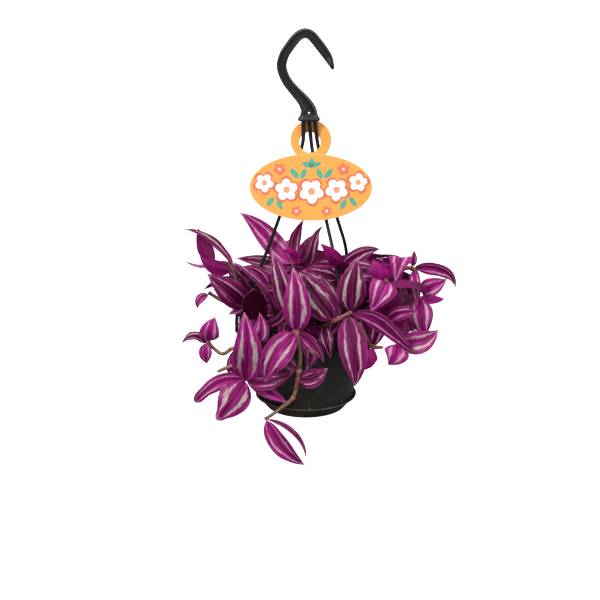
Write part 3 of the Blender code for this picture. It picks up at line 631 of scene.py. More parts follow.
hook_rows = [Vector(row) for row in COLLAR_BEAD] + spline([Vector(row) for row in HOOK_LINE], 1.0)
hook_line = [Vector((x, 0, z)) * MM for x, z, _, _, _ in hook_rows]
hook_sections = [hook_section(w * MM, d * MM, max(0.0, min(1.0, sunk))) for _, _, w, d, sunk in hook_rows]
hook = add_piece("hook_with_collar", *sweep(hook_line, hook_sections, Vector((1, 0, 0))), [hanger_plastic],
                 "hanger_plastic", ["hanger_hook"], sharp=60)
collar_hole = cut(hook, *turned([(0, -0.01), (COLLAR_HOLE_RADIUS, -0.01), (COLLAR_HOLE_RADIUS, 0.01),
                                 (0, 0.01)], 24), "collar_hole")
collar_hole.rotation_euler = (math.pi / 2, 0, 0)
collar_hole.location = (COLLAR_CENTRE_X, 0, COLLAR_HOLE_Z)
print("hook has", len(hook_line), "sections")

# %% [markdown]
# The three strands are round plastic rods moulded with the hook, thin enough to bend like cord. Each
# ends in a flat clip that lies on the pot's lip and hooks under it. A superellipse section does both:
# at power 2 it is a circle, and at a higher power it squares up into the strap of the clip.

# %% Strands and clips
STRAND_RADIUS = 1.55 * MM
CLIP_HALF_WIDTH = 3.0 * MM
STRAND_TAPER = 26.0 * MM
STRANDS = {
    "hanger_strand_left": (180.0, [(-2.2, 0, -71.4), (-3.2, 0, -92), (-23, 0, -156), (-41, 0, -204),
                                   (-60.2, 0, -243)]),
    "hanger_strand_front": (-60.0, [(2.6, 0, -71.4), (5.5, -0.5, -97), (17, -14, -153), (25, -30, -187),
                                    (30, -42, -220), (31, -46, -232), (31.2, -51.7, -242)]),
    "hanger_strand_back": (60.0, [(7.4, 0, -71.4), (10.6, 1, -94), (27, 18, -160), (36, 30, -195),
                                  (36, 43, -225), (31.5, 53.5, -243)]),
}


def squared_ring(half_width, half_depth, power, sides):
    """A superellipse: a circle at power 2, nearly a rectangle at power 6."""
    ring = []
    for k in range(sides):
        angle = 2 * math.pi * k / sides
        c = math.cos(angle)
        s = math.sin(angle)
        ring.append((math.copysign(abs(c) ** (2 / power), c) * half_width,
                     math.copysign(abs(s) ** (2 / power), s) * half_depth))
    return ring


for strand_name, (degrees, strand_points) in STRANDS.items():
    outward = Vector((math.cos(math.radians(degrees)), math.sin(math.radians(degrees)), 0))
    reach = LIP_RADIUS + GAP + STRAND_RADIUS
    under = POT_TOP - LIP_HEIGHT - GAP - STRAND_RADIUS
    clip = [
        outward * reach + Vector((0, 0, POT_TOP - 1.5 * MM)),
        outward * reach + Vector((0, 0, POT_TOP - LIP_HEIGHT + 2.0 * MM)),
        outward * (reach - 0.2 * MM) + Vector((0, 0, under - 0.5 * MM)),
        outward * (reach - 3.4 * MM) + Vector((0, 0, under - 0.4 * MM))]
    strand_points = in_metres(strand_points)
    strand_points[0].z += 1.5 * MM
    line = spline(strand_points + clip, 1.6 * MM)
    sections = []
    for spot in line:
        down = max(0.0, min(1.0, (POT_TOP + 5 * MM - spot.z) / (4 * MM)))
        thick = STRAND_RADIUS * (1 + 0.25 * smooth(STRAND_TAPER, 0, line[0].z - spot.z))
        half = thick + (CLIP_HALF_WIDTH - STRAND_RADIUS) * down
        sections.append(squared_ring(half, thick, 2 + 3 * down, 16))
    add_piece(strand_name + "_rod", *sweep(line, sections, Vector((0, 0, 1)).cross(outward)),
              [shaded_strand_plastic], "hanger_plastic", [strand_name])
    print(strand_name, "is", round(sum((b - a).length for a, b in zip(line, line[1:])) / MM), "mm long")

# %% [markdown]
# The tag is a die-cut card: printed orange, with a satin varnish. The plain solid already has its
# true outline, so it stays and only gets its finish. The fibres of the card show as a faint mottle.

# %% Tag card
tag_card, tag_shader = new_material("orange varnished card")
tag_mottle = speckle(tag_card, millimetres(tag_card), 0.5, 4.0)
tag_bump = node(tag_card, "Bump", {"Strength": 0.05, "Distance": 0.0002, "Height": tag_mottle})
set_shader(tag_card, tag_shader, {
    "Base Color": blend(tag_card, tag_mottle, "#E8943C", "#F1A048"),
    "Roughness": 0.5,
    "Specular IOR Level": 0.3,
    "Normal": tag_bump.outputs["Normal"]})
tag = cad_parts["tag"]
tag.data.materials.clear()
tag.data.materials.append(tag_card)
print("tag card dressed")

# %% [markdown]
# The print on the card is a garland of five-petal blossoms with green leaves, in white and coral ink.
# A pale line marks where the ring meets the oval plate. Screen-printed ink stands a hair above the
# card, so each motif is a very thin plate just above it, laid out in the card's own plane: millimetres
# to the right and down from the middle of its top edge.

# %% Tag print
TAG_TOP = (4.2, 8.0, -72.0)
TAG_LEAN = math.radians(24.0)
TAG_THICKNESS = 0.8
INK_STEP = 0.05


def ink(name, dark, light):
    look, shader = new_material(name)
    mottle = speckle(look, millimetres(look), 0.9, 4.0)
    set_shader(look, shader, {"Base Color": blend(look, mottle, dark, light), "Roughness": 0.45,
                              "Specular IOR Level": 0.3})
    return look


white_ink = ink("white screen ink", "#F6EFE8", "#FFFDF8")
coral_ink = ink("coral screen ink", "#DE6648", "#EA7656")
russet_ink = ink("russet screen ink", "#B4563F", "#C2644A")
salmon_ink = ink("salmon screen ink", "#F08468", "#F59A7C")
green_ink = ink("leaf-green screen ink", "#3F9478", "#5AA98C")


def on_card(right, down, out):
    """A spot on the card in metres."""
    x, y, z = TAG_TOP
    lean_y = -math.sin(TAG_LEAN) * down - math.cos(TAG_LEAN) * out
    lean_z = -math.cos(TAG_LEAN) * down + math.sin(TAG_LEAN) * out
    return Vector((x + right, y + lean_y, z + lean_z)) * MM


def print_motif(name, outlines, layer, look):
    """Thin plates over outlines of (right, down) points in mm."""
    points = []
    faces = []
    low = TAG_THICKNESS / 2 + 0.02 + layer * INK_STEP
    for outline in outlines:
        start = len(points)
        size = len(outline)
        for out in (low, low + INK_STEP * 0.9):
            points += [on_card(r, d, out) for r, d in outline]
        faces.append([start + k for k in range(size)][::-1])
        faces.append([start + size + k for k in range(size)])
        for k in range(size):
            n = (k + 1) % size
            faces.append([start + k, start + n, start + n + size, start + k + size])
    add_piece(name, points, faces, [look], "tag_card", sharp=30)


def blossom(right, down, radius, turn, petals=5):
    """A flower with round petals."""
    outline = []
    for k in range(60):
        angle = 2 * math.pi * k / 60
        reach = radius * (0.62 + 0.38 * abs(math.cos(petals * (angle - turn) / 2)) ** 0.7)
        outline.append((right + reach * math.cos(angle), down + reach * math.sin(angle)))
    return outline


def round_dot(right, down, radius):
    return [(right + radius * math.cos(2 * math.pi * k / 28), down + radius * math.sin(2 * math.pi * k / 28))
            for k in range(28)]


def leaf_print(right, down, length, width, degrees):
    """A pointed oval."""
    c = math.cos(math.radians(degrees))
    s = math.sin(math.radians(degrees))
    outline = []
    for k in range(32):
        turn = 2 * math.pi * k / 32
        a = length / 2 * (1 + math.cos(turn))
        b = width / 2 * math.sin(turn) * abs(math.sin(turn)) ** 0.35
        outline.append((right + a * c - b * s, down + a * s + b * c))
    return outline


def ribbon(points, half):
    """A band of one width along a run of points."""
    line = [Vector(p) for p in points]
    upper = []
    lower = []
    for spot, along in zip(line, tangents(line)):
        across = Vector((-along.y, along.x)) * half
        upper.append(tuple(spot + across))
        lower.append(tuple(spot - across))
    return upper + lower[::-1]


GARLAND = [(-40, 55, 8.0, 0.2), (-21, 61, 9.6, 0.9), (0.5, 62.5, 10.4, 1.5), (22, 61, 9.6, 0.4),
           (40.5, 54.5, 7.8, 1.1)]
SMALL_BLOSSOMS = [(-27, 43, 5.6, 0.3), (28, 43, 5.6, 0.8), (-12.5, 79.5, 4.6, 0.1), (13.5, 79.5, 4.6, 0.6)]
SPRIGS = [(-10.5, 51, 11, 5.0, -130), (-8.5, 51.5, 10, 4.6, -65), (11.5, 51, 11, 5.0, -50),
          (9.5, 51.5, 10, 4.6, -115), (-32, 67, 10, 4.6, 125), (-29, 69, 10, 4.6, 65), (33, 67, 10, 4.6, 55),
          (30, 69, 10, 4.6, 115), (0.5, 41, 9, 4.4, -155), (0.5, 41, 9, 4.4, -25), (0.5, 42, 9, 4.6, -90)]
PLATE_MIDDLE = 58.7
PLATE_HALF = (52.6, 29.0)
NECK_TURN = 0.23
pale_ink = ink("pale orange screen ink", "#F2AC60", "#F8B870")
neck_turns = [NECK_TURN * k / 8 for k in range(-8, 9)]
plate_edge = [(PLATE_HALF[0] * math.sin(t), PLATE_MIDDLE - PLATE_HALF[1] * math.cos(t) + 0.4) for t in neck_turns]
print_motif("print_plate_edge", [ribbon(plate_edge, 0.3)], 0, pale_ink)
garland_string = [(x, 54.5 + 8.5 * math.cos(x / 50 * math.pi / 2)) for x in range(-44, 45, 4)]
print_motif("print_string", [ribbon(garland_string, 0.7)], 0, green_ink)
print_motif("print_leaves", [leaf_print(*row) for row in SPRIGS], 1, green_ink)
print_motif("print_edges", [blossom(r, d, size + 2.4, t) for r, d, size, t in GARLAND], 2, russet_ink)
print_motif("print_outlines", [blossom(r, d, size + 1.6, t) for r, d, size, t in GARLAND], 3, coral_ink)
print_motif("print_blossoms", [blossom(*row) for row in GARLAND], 4, white_ink)
print_motif("print_hearts", [round_dot(r, d, size * 0.3) for r, d, size, _ in GARLAND], 5, salmon_ink)
print_motif("print_small_blossoms", [blossom(*row) for row in SMALL_BLOSSOMS], 2, coral_ink)
print_motif("print_small_hearts", [round_dot(r, d, 1.1) for r, d, _, _ in SMALL_BLOSSOMS], 3, white_ink)
print("tag printed")

# %% [markdown]
# Stems are tables of points on a route, as a cord's would be: the piece that each grows from, then
# its points. They stand on the soil, arch over the lip and hang, as tradescantia does once its stems
# are too long to hold themselves up.

# %% Stems
STEM_RADIUS = 2.0 * MM
STEM_TIP_RADIUS = 1.5 * MM
STEMS = {
    "stem_front_trailing": ("soil", [
        (-6, -20, -260), (-8, -40, -243), (-9, -57, -236), (-8, -65, -240), (-5, -68, -257),
        (-6, -69, -273), (-8, -69, -288), (-10.6, -67.5, -298), (-13.5, -65.8, -302.5), (-24, -61.5, -313),
        (-36, -58, -323)]),
    "stem_front_right": ("soil", [
        (12, -24, -260), (15, -41, -243), (26, -53, -233), (40, -51, -226.5)]),
    "stem_left_low": ("soil", [
        (-20, -18, -260), (-28, -34, -243), (-38, -46, -238.5), (-46, -51, -248), (-50, -49, -265),
        (-53, -43, -293)]),
    "stem_left_up": ("soil", [
        (-22, -4, -260), (-38, -8, -239), (-53, -10, -233), (-61, -3, -214), (-66, 3, -202),
        (-74, 6, -199.5), (-82, 7, -204)]),
    "stem_middle": ("soil", [(-8, -4, -260), (-10, -5, -230), (-11, -7, -210), (-11, -8, -195)]),
    "stem_middle_right": ("soil", [(14, -6, -260), (20, -16, -235), (26, -27, -208), (29, -31, -191)]),
    "stem_right_high": ("soil", [
        (24, 0, -260), (44, -6, -232), (66, -10, -210), (84, -11, -200.5), (93, -12, -200),
        (98, -16, -207), (98, -21, -225)]),
    "stem_right_middle": ("soil", [
        (22, -11, -260), (42, -24, -234), (57, -33, -215), (70, -38, -202)]),
    "stem_right_low": ("soil", [
        (22, -23, -260), (34, -31, -243), (50, -38, -236), (64, -41, -236.5), (75, -44, -244),
        (82, -44, -258)]),
    "stem_side_shoot": ("stem_left_low", [
        (-50, -48, -263), (-64, -32, -266.5), (-73, -28, -273), (-80, -26, -269.5), (-87, -26, -261)]),
    "stem_back_left": ("soil", [
        (-14, 14, -260), (-34, 32, -240), (-47, 45, -235), (-57, 55, -250), (-56, 59, -272),
        (-52, 60, -290)]),
    "stem_back": ("soil", [
        (2, 20, -260), (3, 42, -238), (4, 60, -233), (5, 70, -248), (3, 72, -273), (2, 70, -296)]),
    "stem_back_right": ("soil", [
        (18, 14, -260), (36, 33, -238), (49, 45, -232), (60, 56, -245), (60, 60, -266), (57, 61, -283)]),
}


def nearest(line, point):
    """The nearest spot to a point on a stem's line, short of its rounded end, and the direction there."""
    end = line[-1] + (line[-2] - line[-1]).normalized() * STEM_TIP_RADIUS
    line = line[:-1] + [end]
    best = (line[0], line[1] - line[0], 0.0)
    for k, (a, b) in enumerate(zip(line, line[1:])):
        share = (point - a).dot(b - a) / (b - a).length_squared
        share = max(0.0, min(1.0, share))
        spot = a + (b - a) * share
        if (spot - point).length < (best[0] - point).length:
            best = (spot, b - a, (k + share) / (len(line) - 1))
    return best


def stem_line(name, spacing=9.0 * MM):
    """The middle line of a stem. It starts on the soil, or on the stem that it grows from."""
    parent, points = STEMS[name]
    route = in_metres(points)
    if parent == "soil":
        route[0].z = soil_top(math.hypot(route[0].x, route[0].y)) + GAP
        route.insert(1, route[0] + Vector((0, 0, 5 * MM)))
    else:
        near = nearest(stem_line(parent), route[0])[0]
        route[0] = near + (route[1] - near).normalized() * (STEM_RADIUS + GAP)
    return spline(route, spacing)


def stem_radius(share):
    return STEM_RADIUS + (STEM_TIP_RADIUS - STEM_RADIUS) * share


print(len(STEMS), "stems in the frame")

# %% [markdown]
# Leaves are a table too: the stem, the midrib from base to tip, then width, roll and fold, and the way
# the blade faces, in degrees round from the front by the right. A tradescantia leaf has no stalk. Its
# blade starts blunt, is widest at four tenths and runs out to a long point.

# %% Leaves of the frame
LEAVES = {
    "leaf_front_up": ("stem_front_trailing", [(-9, -67, -238), (-8, -74, -209), (-11, -64, -183)],
                      24, 0, 10, 0),
    "leaf_front_down_left": ("stem_front_trailing", [(-12, -69, -241), (-25, -80, -255), (-35, -74, -282)],
                             25, 0, 12, 0),
    "leaf_front_down_right": ("stem_front_trailing", [(-5, -68, -241), (5, -76, -246), (15, -74, -264)],
                              17, 45, 20, 0),
    "leaf_trailing_end": ("stem_front_trailing", [(-38, -59, -324), (-23, -65, -342), (-1, -62, -364)],
                          19, 15, 25, 0),
    "leaf_right_front_down": ("stem_front_right", [(36, -51, -230), (39, -61, -248), (42, -67, -268),
                                                   (42, -64, -290)], 25, 0, 10, 0),
    "leaf_right_front_up": ("stem_front_right", [(39, -52, -225), (39, -60, -200), (44, -53, -177)],
                            25, 0, -8, 0),
    "leaf_right_front_arch": ("stem_front_right", [(42, -51, -228), (63, -59, -233), (80, -60, -248),
                                                   (94, -57, -261)], 18, 40, 10, 0),
    "leaf_middle_striped": ("stem_front_right", [(24, -52, -233), (11, -58, -213), (-6, -49, -192)],
                            27, 0, 8, 0),
    "leaf_left_big": ("stem_left_low", [(-53, -50, -291), (-50, -61, -260), (-53, -54, -226)],
                      28, 0, 12, 0),
    "leaf_left_low_point": ("stem_left_low", [(-55, -45, -295), (-63, -56, -305), (-78, -56, -324)],
                            29, 0, -10, 0),
    "leaf_left_low_arch": ("stem_left_low", [(-56, -43, -293), (-72, -50, -290), (-86, -54, -297),
                                             (-97, -48, -311)], 14, 0, 10, 0),
    "leaf_left_low_inner": ("stem_left_low", [(-50, -46, -294), (-29, -58, -287), (-10, -56, -279)],
                            15, 0, 15, 0),
    "leaf_shoot_round": ("stem_side_shoot", [(-87, -27, -259), (-83, -33, -248), (-79, -28, -239)],
                         18, 0, 8, 0),
    "leaf_left_dark": ("stem_left_up", [(-54, -14, -234), (-69, -26, -214), (-86, -22, -201)],
                       23, 0, 10, 0),
    "leaf_left_folded": ("stem_left_up", [(-65, 3, -199), (-79, 8, -187), (-92, 8, -176), (-107, 5, -169)],
                         15, 60, 30, 0),
    "leaf_left_upright": ("stem_left_up", [(-83, 8, -204), (-89, 12, -191), (-95, 16, -171)],
                          16, 155, 15, 0),
    "leaf_left_narrow": ("stem_left_low", [(-28, -36, -241), (-30, -40, -224), (-43, -32, -206),
                                             (-64, -14, -193)], 13, 60, 25, 0),
    "leaf_top_striped": ("stem_front_trailing", [(-10, -48, -237), (-20, -60, -200), (-29, -48, -173)],
                         20, -15, 10, 0),
    "leaf_top_left": ("stem_middle", [(-12, -7, -196), (-26, 4, -185), (-39, 9, -171), (-58, 9, -155)],
                      20, 0, 8, 0),
    "leaf_left_behind": ("stem_middle", [(-13, -5, -203), (-38, 6, -199), (-62, 7, -196)], 13, 10, 10, 0),
    "leaf_top_curled": ("stem_middle", [(-12, -10, -195), (3, -22, -184), (7, -22, -169),
                                        (15, -14, -161)], 16, 50, 15, 0),
    "leaf_middle_band": ("stem_middle_right", [(27, -31, -204), (16, -42, -196), (-3, -37, -194)],
                         16, -10, 8, 0),
    "leaf_top_right": ("stem_middle_right", [(30, -31, -189), (45, -29, -182), (64, -19, -180)],
                       13, 20, 10, 0),
    "leaf_right_wedge": ("stem_right_middle", [(70, -41, -199), (65, -56, -205), (55, -58, -224)],
                         24, 0, 6, 0),
    "leaf_right_maroon": ("stem_right_middle", [(72, -41, -202), (85, -46, -202), (99, -42, -206),
                                                (102, -40, -223)], 11, 130, 15, 0),
    "leaf_right_curled": ("stem_right_high", [(84, -12, -199), (82, -21, -187), (77, -34, -205)],
                          22, 70, 5, 90),
    "leaf_right_long": ("stem_right_high", [(95, -12, -199), (108, -14, -198), (122, -14, -202),
                                            (131, -12, -217)], 14, 35, 20, 0),
    "leaf_right_tip": ("stem_right_high", [(100, -21, -217), (110, -28, -211), (122, -26, -205)],
                       17, 0, 10, 0),
    "leaf_right_hanging": ("stem_right_high", [(98, -23, -226), (100, -38, -237), (103, -36, -256)],
                           22, 0, -8, 0),
    "leaf_right_boat": ("stem_right_low", [(84, -45, -259), (98, -57, -252), (114, -51, -243)],
                        22, 0, 20, 0),
    "leaf_right_round": ("stem_right_low", [(80, -46, -259), (77, -58, -264), (71, -54, -274)],
                         23, 0, -12, 0),
    "leaf_back_left_out": ("stem_back_left", [(-60, 56, -252), (-76, 68, -240), (-94, 74, -246)],
                           22, 0, 10, 225),
    "leaf_back_left_down": ("stem_back_left", [(-51, 62, -290), (-45, 70, -303), (-38, 68, -323)],
                            22, 0, 10, 210),
    "leaf_back_up": ("stem_back", [(4, 66, -237), (0, 78, -226), (-6, 78, -208)], 24, 0, 10, 180),
    "leaf_back_side": ("stem_back", [(2, 73, -274), (-14, 79, -286), (-30, 76, -304)], 22, 0, 10, 180),
    "leaf_back_down": ("stem_back", [(2, 71, -297), (6, 79, -312), (10, 76, -334)], 24, 0, 10, 180),
    "leaf_back_right_up": ("stem_back_right", [(51, 47, -231), (63, 64, -223), (79, 68, -214)],
                           22, 0, 10, 150),
    "leaf_back_right_out": ("stem_back_right", [(67, 60, -266), (84, 67, -268), (103, 62, -282)],
                            22, 0, 10, 140),
    "leaf_back_right_down": ("stem_back_right", [(56, 63, -284), (51, 71, -298), (44, 69, -319)],
                             22, 0, 10, 165),
}
framed_leaves = list(LEAVES)
print(len(LEAVES), "leaves in the frame")

# %% [markdown]
# The frame can't hold every leaf. These are the smaller ones that fill the clumps in front, and the
# twigs that some of them need. They are set in the same way, after the leaves of the frame.

# %% Smaller leaves and twigs
TWIGS = {
    "twig_left_thin": ("stem_left_up", [(-54, -12, -233), (-62, -14, -233), (-74, -12, -229), (-86, -10, -222)]),
    "twig_left_inner": ("stem_left_up", [(-38, -9, -238), (-35, -14, -226), (-31, -14, -214)]),
    "twig_stub": ("stem_left_low", [(-52, -44, -279), (-60, -38, -280), (-69, -36, -283), (-78, -36, -287)]),
    "twig_right_low": ("stem_right_low", [(45, -35, -238), (50, -39, -248), (56, -46, -259), (67, -47, -260.5)]),
}
STEMS.update(TWIGS)
LEAVES.update({
    "leaf_small_front_behind": ("stem_front_trailing", [(2, -62, -242), (4, -65, -257), (0, -66, -274)],
                                16, -20, 10, 0),
    "leaf_small_middle_striped": ("stem_front_right", [(28, -46, -232), (21, -48, -212), (11, -40, -197)],
                                  15, 30, 10, 0),
    "leaf_small_crown_right": ("stem_middle_right", [(30, -33, -192), (24, -39, -182), (12, -40, -169)],
                               13, 165, 10, 0),
    "leaf_small_crown_shield": ("stem_middle_right", [(31, -31, -196), (31, -44, -190), (24, -50, -178)],
                                15, 160, 8, 0),
    "leaf_small_crown_flat": ("stem_middle_right", [(27, -36, -193), (17, -42, -187), (4, -40, -190)],
                              12, 20, 10, 0),
    "leaf_small_crown_up": ("stem_middle", [(-10, 2, -192), (-10, 6, -177), (-2, 8, -161)], 15, 45, 12, 0),
    "leaf_small_middle_pointed": ("stem_left_low", [(-29, -50, -244), (-22, -62, -227), (-14, -62, -211)],
                                  11, 40, 12, 0),
    "leaf_small_crown_left": ("stem_middle", [(-4, -4, -194), (-12, 0, -190), (-22, 4, -188)], 9, 150, 10, 0),
    "leaf_small_crown_under": ("stem_middle", [(-7, -14, -199), (0, -24, -196), (8, -26, -190)],
                               16, 160, 10, 0),
    "leaf_small_left_red": ("stem_left_up", [(-72, 0, -208), (-82, -4, -200), (-93, -2, -192)], 14, 170, 10, 0),
    "leaf_small_left_tip": ("stem_left_up", [(-84, 6, -204), (-95, 6, -203), (-107, 6, -198)], 4, 40, 10, 0),
    "leaf_small_left_inner": ("twig_left_inner", [(-30, -14, -214), (-42, -12, -204), (-55, -6, -201)],
                              13, -20, 10, 0),
    "leaf_small_left_spur": ("stem_left_up", [(-55, -14, -237), (-62, -18, -237), (-69, -18, -240)],
                             8, 0, 10, 0),
    "leaf_small_twig_end": ("twig_left_thin", [(-87, -10, -223), (-93, -14, -227), (-95, -14, -236)],
                            8, 0, 10, 0),
    "leaf_small_left_between": ("stem_left_low", [(-36, -50, -258), (-39, -58, -242), (-40, -50, -228)],
                                16, 0, 10, 0),
    "leaf_small_left_edge": ("stem_left_low", [(-59, -38, -294), (-65, -38, -281), (-63, -34, -267)],
                             12, 20, 10, 0),
    "leaf_small_left_under": ("stem_left_low", [(-49, -42, -292), (-34, -50, -299), (-17, -56, -308)],
                              13, 0, 10, 0),
    "leaf_small_shoot_left": ("stem_side_shoot", [(-88, -26, -261), (-98, -28, -257), (-109, -26, -264)],
                              12, 50, 15, 0),
    "leaf_small_shoot_down": ("stem_side_shoot", [(-86, -26, -263), (-88, -30, -271), (-87, -28, -282)],
                              12, 0, 12, 0),
    "leaf_small_right_under": ("twig_right_low", [(57, -50, -261), (56, -53, -270), (50, -51, -280)],
                               16, 140, 10, 0),
    "leaf_small_right_maroon": ("stem_right_low", [(63, -44, -235), (61, -44, -248), (57, -42, -262)],
                                14, 0, 10, 0),
    "leaf_small_top_thin": ("stem_middle_right", [(31, -30, -191), (49, -20, -191), (66, -14, -188)],
                            5, 60, 10, 0),
    "leaf_small_right_glow": ("stem_right_middle", [(66, -34, -206), (62, -38, -196), (58, -34, -185)],
                              17, 180, 8, 0),
    "leaf_small_right_spike": ("stem_right_high", [(94, -10, -198), (94, -12, -191), (94, -12, -183)],
                               6, 0, 10, 0),
    "leaf_small_right_thin": ("stem_right_high", [(98, -20, -223), (108, -22, -224), (121, -20, -225)],
                              10, 150, 10, 0),
    "leaf_small_right_drop": ("stem_right_high", [(92, -18, -201), (95, -32, -212), (96, -34, -226)],
                              10, 0, 10, 0),
    "leaf_small_right_bridge": ("stem_right_low", [(71, -46, -235), (82, -52, -227), (96, -48, -228)],
                                13, 10, 10, 0),
    "leaf_small_on_pot": ("stem_front_trailing", [(-5, -70, -281), (8, -78, -276), (18, -76, -269)],
                          17, 0, 12, 0),
    "leaf_small_right_dark": ("stem_front_right", [(14, -46, -241), (18, -58, -252), (21, -57, -266)],
                              12, 10, 10, 0),
    "leaf_small_torn_strip": ("stem_front_trailing", [(-33, -56, -323), (-14, -58, -332), (-3, -58, -346),
                                                      (0, -60, -361)], 5, 0, 10, 0),
})
print(len(LEAVES), "leaves so far")

# %% [markdown]
# A blade is a grid of points over its midrib. Its two halves fold up a little from the midrib, each
# half is slightly pillowed, and the margin waves. The same grid with few rows and a little more
# thickness is the test body that keeps leaves apart: a leaf is swung and rolled a few degrees until
# its test body meets nothing that was placed before. That is how leaves crowd without touching.

# %% Blade shape
LEAF_PEAK = 0.39
LEAF_SHOULDER = 0.65
LEAF_THICKNESS = 0.7 * MM
TEST_ROWS = 7
TEST_COLUMNS = 5
FINE_ROWS = 30
FINE_COLUMNS = 17
FINE_THICKNESS = 0.35 * MM
BLUNT = {"leaf_left_low_arch": 0.75, "leaf_left_low_point": 0.45}
SWINGS = [0, 2, -2, 4, -4, 6, -6, 8, -8, 11, -11, 14, -14, 18, -18, 22]
ROLLS = [0, 10, -10, 22, -22]


def through(points, t):
    """The point at t (0 to 1) on the one polynomial curve that passes through a few points."""
    knots = [0.0]
    for a, b in zip(points, points[1:]):
        knots.append(knots[-1] + (b - a).length)
    knots = [k / knots[-1] for k in knots]
    total = Vector((0.0, 0.0, 0.0))
    for i, point in enumerate(points):
        weight = 1.0
        for j, knot in enumerate(knots):
            if j != i:
                weight *= (t - knot) / (knots[i] - knot)
        total += point * weight
    return total


def blade_outline(t, blunt=0.0):
    """Half width of a blade at t along it, as a share of its greatest half width."""
    fall = LEAF_SHOULDER * (1 - LEAF_PEAK) / LEAF_PEAK
    peak = LEAF_PEAK ** LEAF_SHOULDER * (1 - LEAF_PEAK) ** fall
    pointed = t ** LEAF_SHOULDER * (1 - t) ** fall / peak
    return max(pointed, blunt * math.sqrt(1 - (2 * t - 1) ** 4))


def midrib(name):
    """The leaf's midrib points, with its base set on the surface of its stem."""
    stem, points = LEAVES[name][:2]
    route = in_metres(points)
    seat, along, share = nearest(stem_line(stem), route[0])
    along.normalize()
    toward = route[1] - seat
    if (route[0] - seat).length > 0.5 * MM:
        toward = toward.normalized() + (route[0] - seat).normalized()
    outward = toward - along * toward.dot(along)
    route[0] = seat + outward.normalized() * (stem_radius(share) + LEAF_THICKNESS / 2 + GAP)
    return route


def blade(name, swing, roll_more, count_rows, count_columns, fine=False):
    """Rows of (point, up, u) over a blade, from base to tip, swung and rolled from rest."""
    _, _, width, roll, fold, facing = LEAVES[name]
    turn = math.radians(facing)
    outward = Vector((math.sin(turn), -math.cos(turn), 0.33)).normalized()
    route = midrib(name)
    far = (route[-1] - route[0]).length
    route = [p + outward * swing * min(1.0, (p - route[0]).length / (0.6 * far)) for p in route]
    slope = math.radians(fold)
    phase = random.Random(name).random()
    least = 0.25 * MM if fine else 0.7 * MM
    step = 0.01
    rows = []
    for r in range(count_rows):
        t = r / (count_rows - 1)
        spot = through(route, t)
        along = (through(route, t + step) - through(route, t - step)).normalized()
        up = (outward - along * outward.dot(along)).normalized()
        up = Matrix.Rotation(math.radians(roll + roll_more), 3, along) @ up
        side = along.cross(up)
        half = max(width * MM / 2 * blade_outline(min(max(t, 0.004), 0.996), BLUNT.get(name, 0.0)), least)
        row = []
        for c in range(count_columns):
            u = 2 * c / (count_columns - 1) - 1
            lift = abs(u) * math.sin(slope)
            if fine:
                lift = (math.sqrt(u * u + 0.012) - 0.11) * math.sin(slope)
                lift += 0.05 * math.sin(math.pi * abs(u))
                lift += 0.06 * abs(u) ** 3 * math.sin(2 * math.pi * (2.3 * t + phase + 0.2 * u))
            row.append((spot + side * u * half * math.cos(slope) + up * lift * half, up, u, t, half))
        rows.append(row)
    return rows


def blade_body(rows, thickness):
    """Points and faces of a closed thin solid over a blade's rows."""
    points = []
    faces = []
    for side in (0.5, -0.5):
        for row in rows:
            points += [spot[0] + spot[1] * side * thickness for spot in row]
    wide = len(rows[0])
    layer = wide * len(rows)
    for r in range(len(rows) - 1):
        for c in range(wide - 1):
            a = r * wide + c
            faces.append([a, a + 1, a + 1 + wide, a + wide])
            faces.append([layer + a + wide, layer + a + 1 + wide, layer + a + 1, layer + a])
    rim = list(range(wide)) + [r * wide + wide - 1 for r in range(1, len(rows))]
    rim += [layer - 1 - c for c in range(1, wide)] + [r * wide for r in range(len(rows) - 2, 0, -1)]
    for a, b in zip(rim, rim[1:] + rim[:1]):
        faces.append([a, a + layer, b + layer, b])
    return points, faces


def settle(name, placed, thickness=LEAF_THICKNESS + 2 * GAP, swings=SWINGS, rolls=ROLLS):
    """The first swing and roll at which a leaf meets nothing placed before, or None."""
    choices = [(swing, roll) for swing in swings for roll in rolls]
    choices.sort(key=lambda c: abs(c[0]) + 0.25 * abs(c[1]))
    for swing, roll in choices:
        rows = blade(name, swing * MM, roll, TEST_ROWS, TEST_COLUMNS)
        points, faces = blade_body(rows, thickness)
        tree = BVHTree.FromPolygons(points, faces)
        if not any(tree.overlap(other) for other in placed):
            return swing, roll
    return None


print("blade rule ready")

# %% [markdown]
# The blade's colours come in zones across its width: a magenta or maroon core along the midrib, a
# silver band on each side, and a purple outer zone with a thin pink margin. Silver is not a pigment:
# it is air under the skin, so it is pale, rough and speckled, and it fades into pink lines at both
# ends. The zones are drawn from two numbers that each point of the mesh carries: how far it is across
# the blade and how far along. The underside is plain magenta with painted shade and a painted glow:
# by the leaf's tone it runs from a dark shaded magenta to a bright one, as if light glowed through it.

# %% Leaf skins
def stretched(look, spot, across, along):
    """The blade's millimetres scaled to so many cells per millimetre across and along."""
    made = node(look, "VectorMath", {0: spot, 1: (across, along, 1.0)}, operation="MULTIPLY")
    return made.outputs["Vector"]


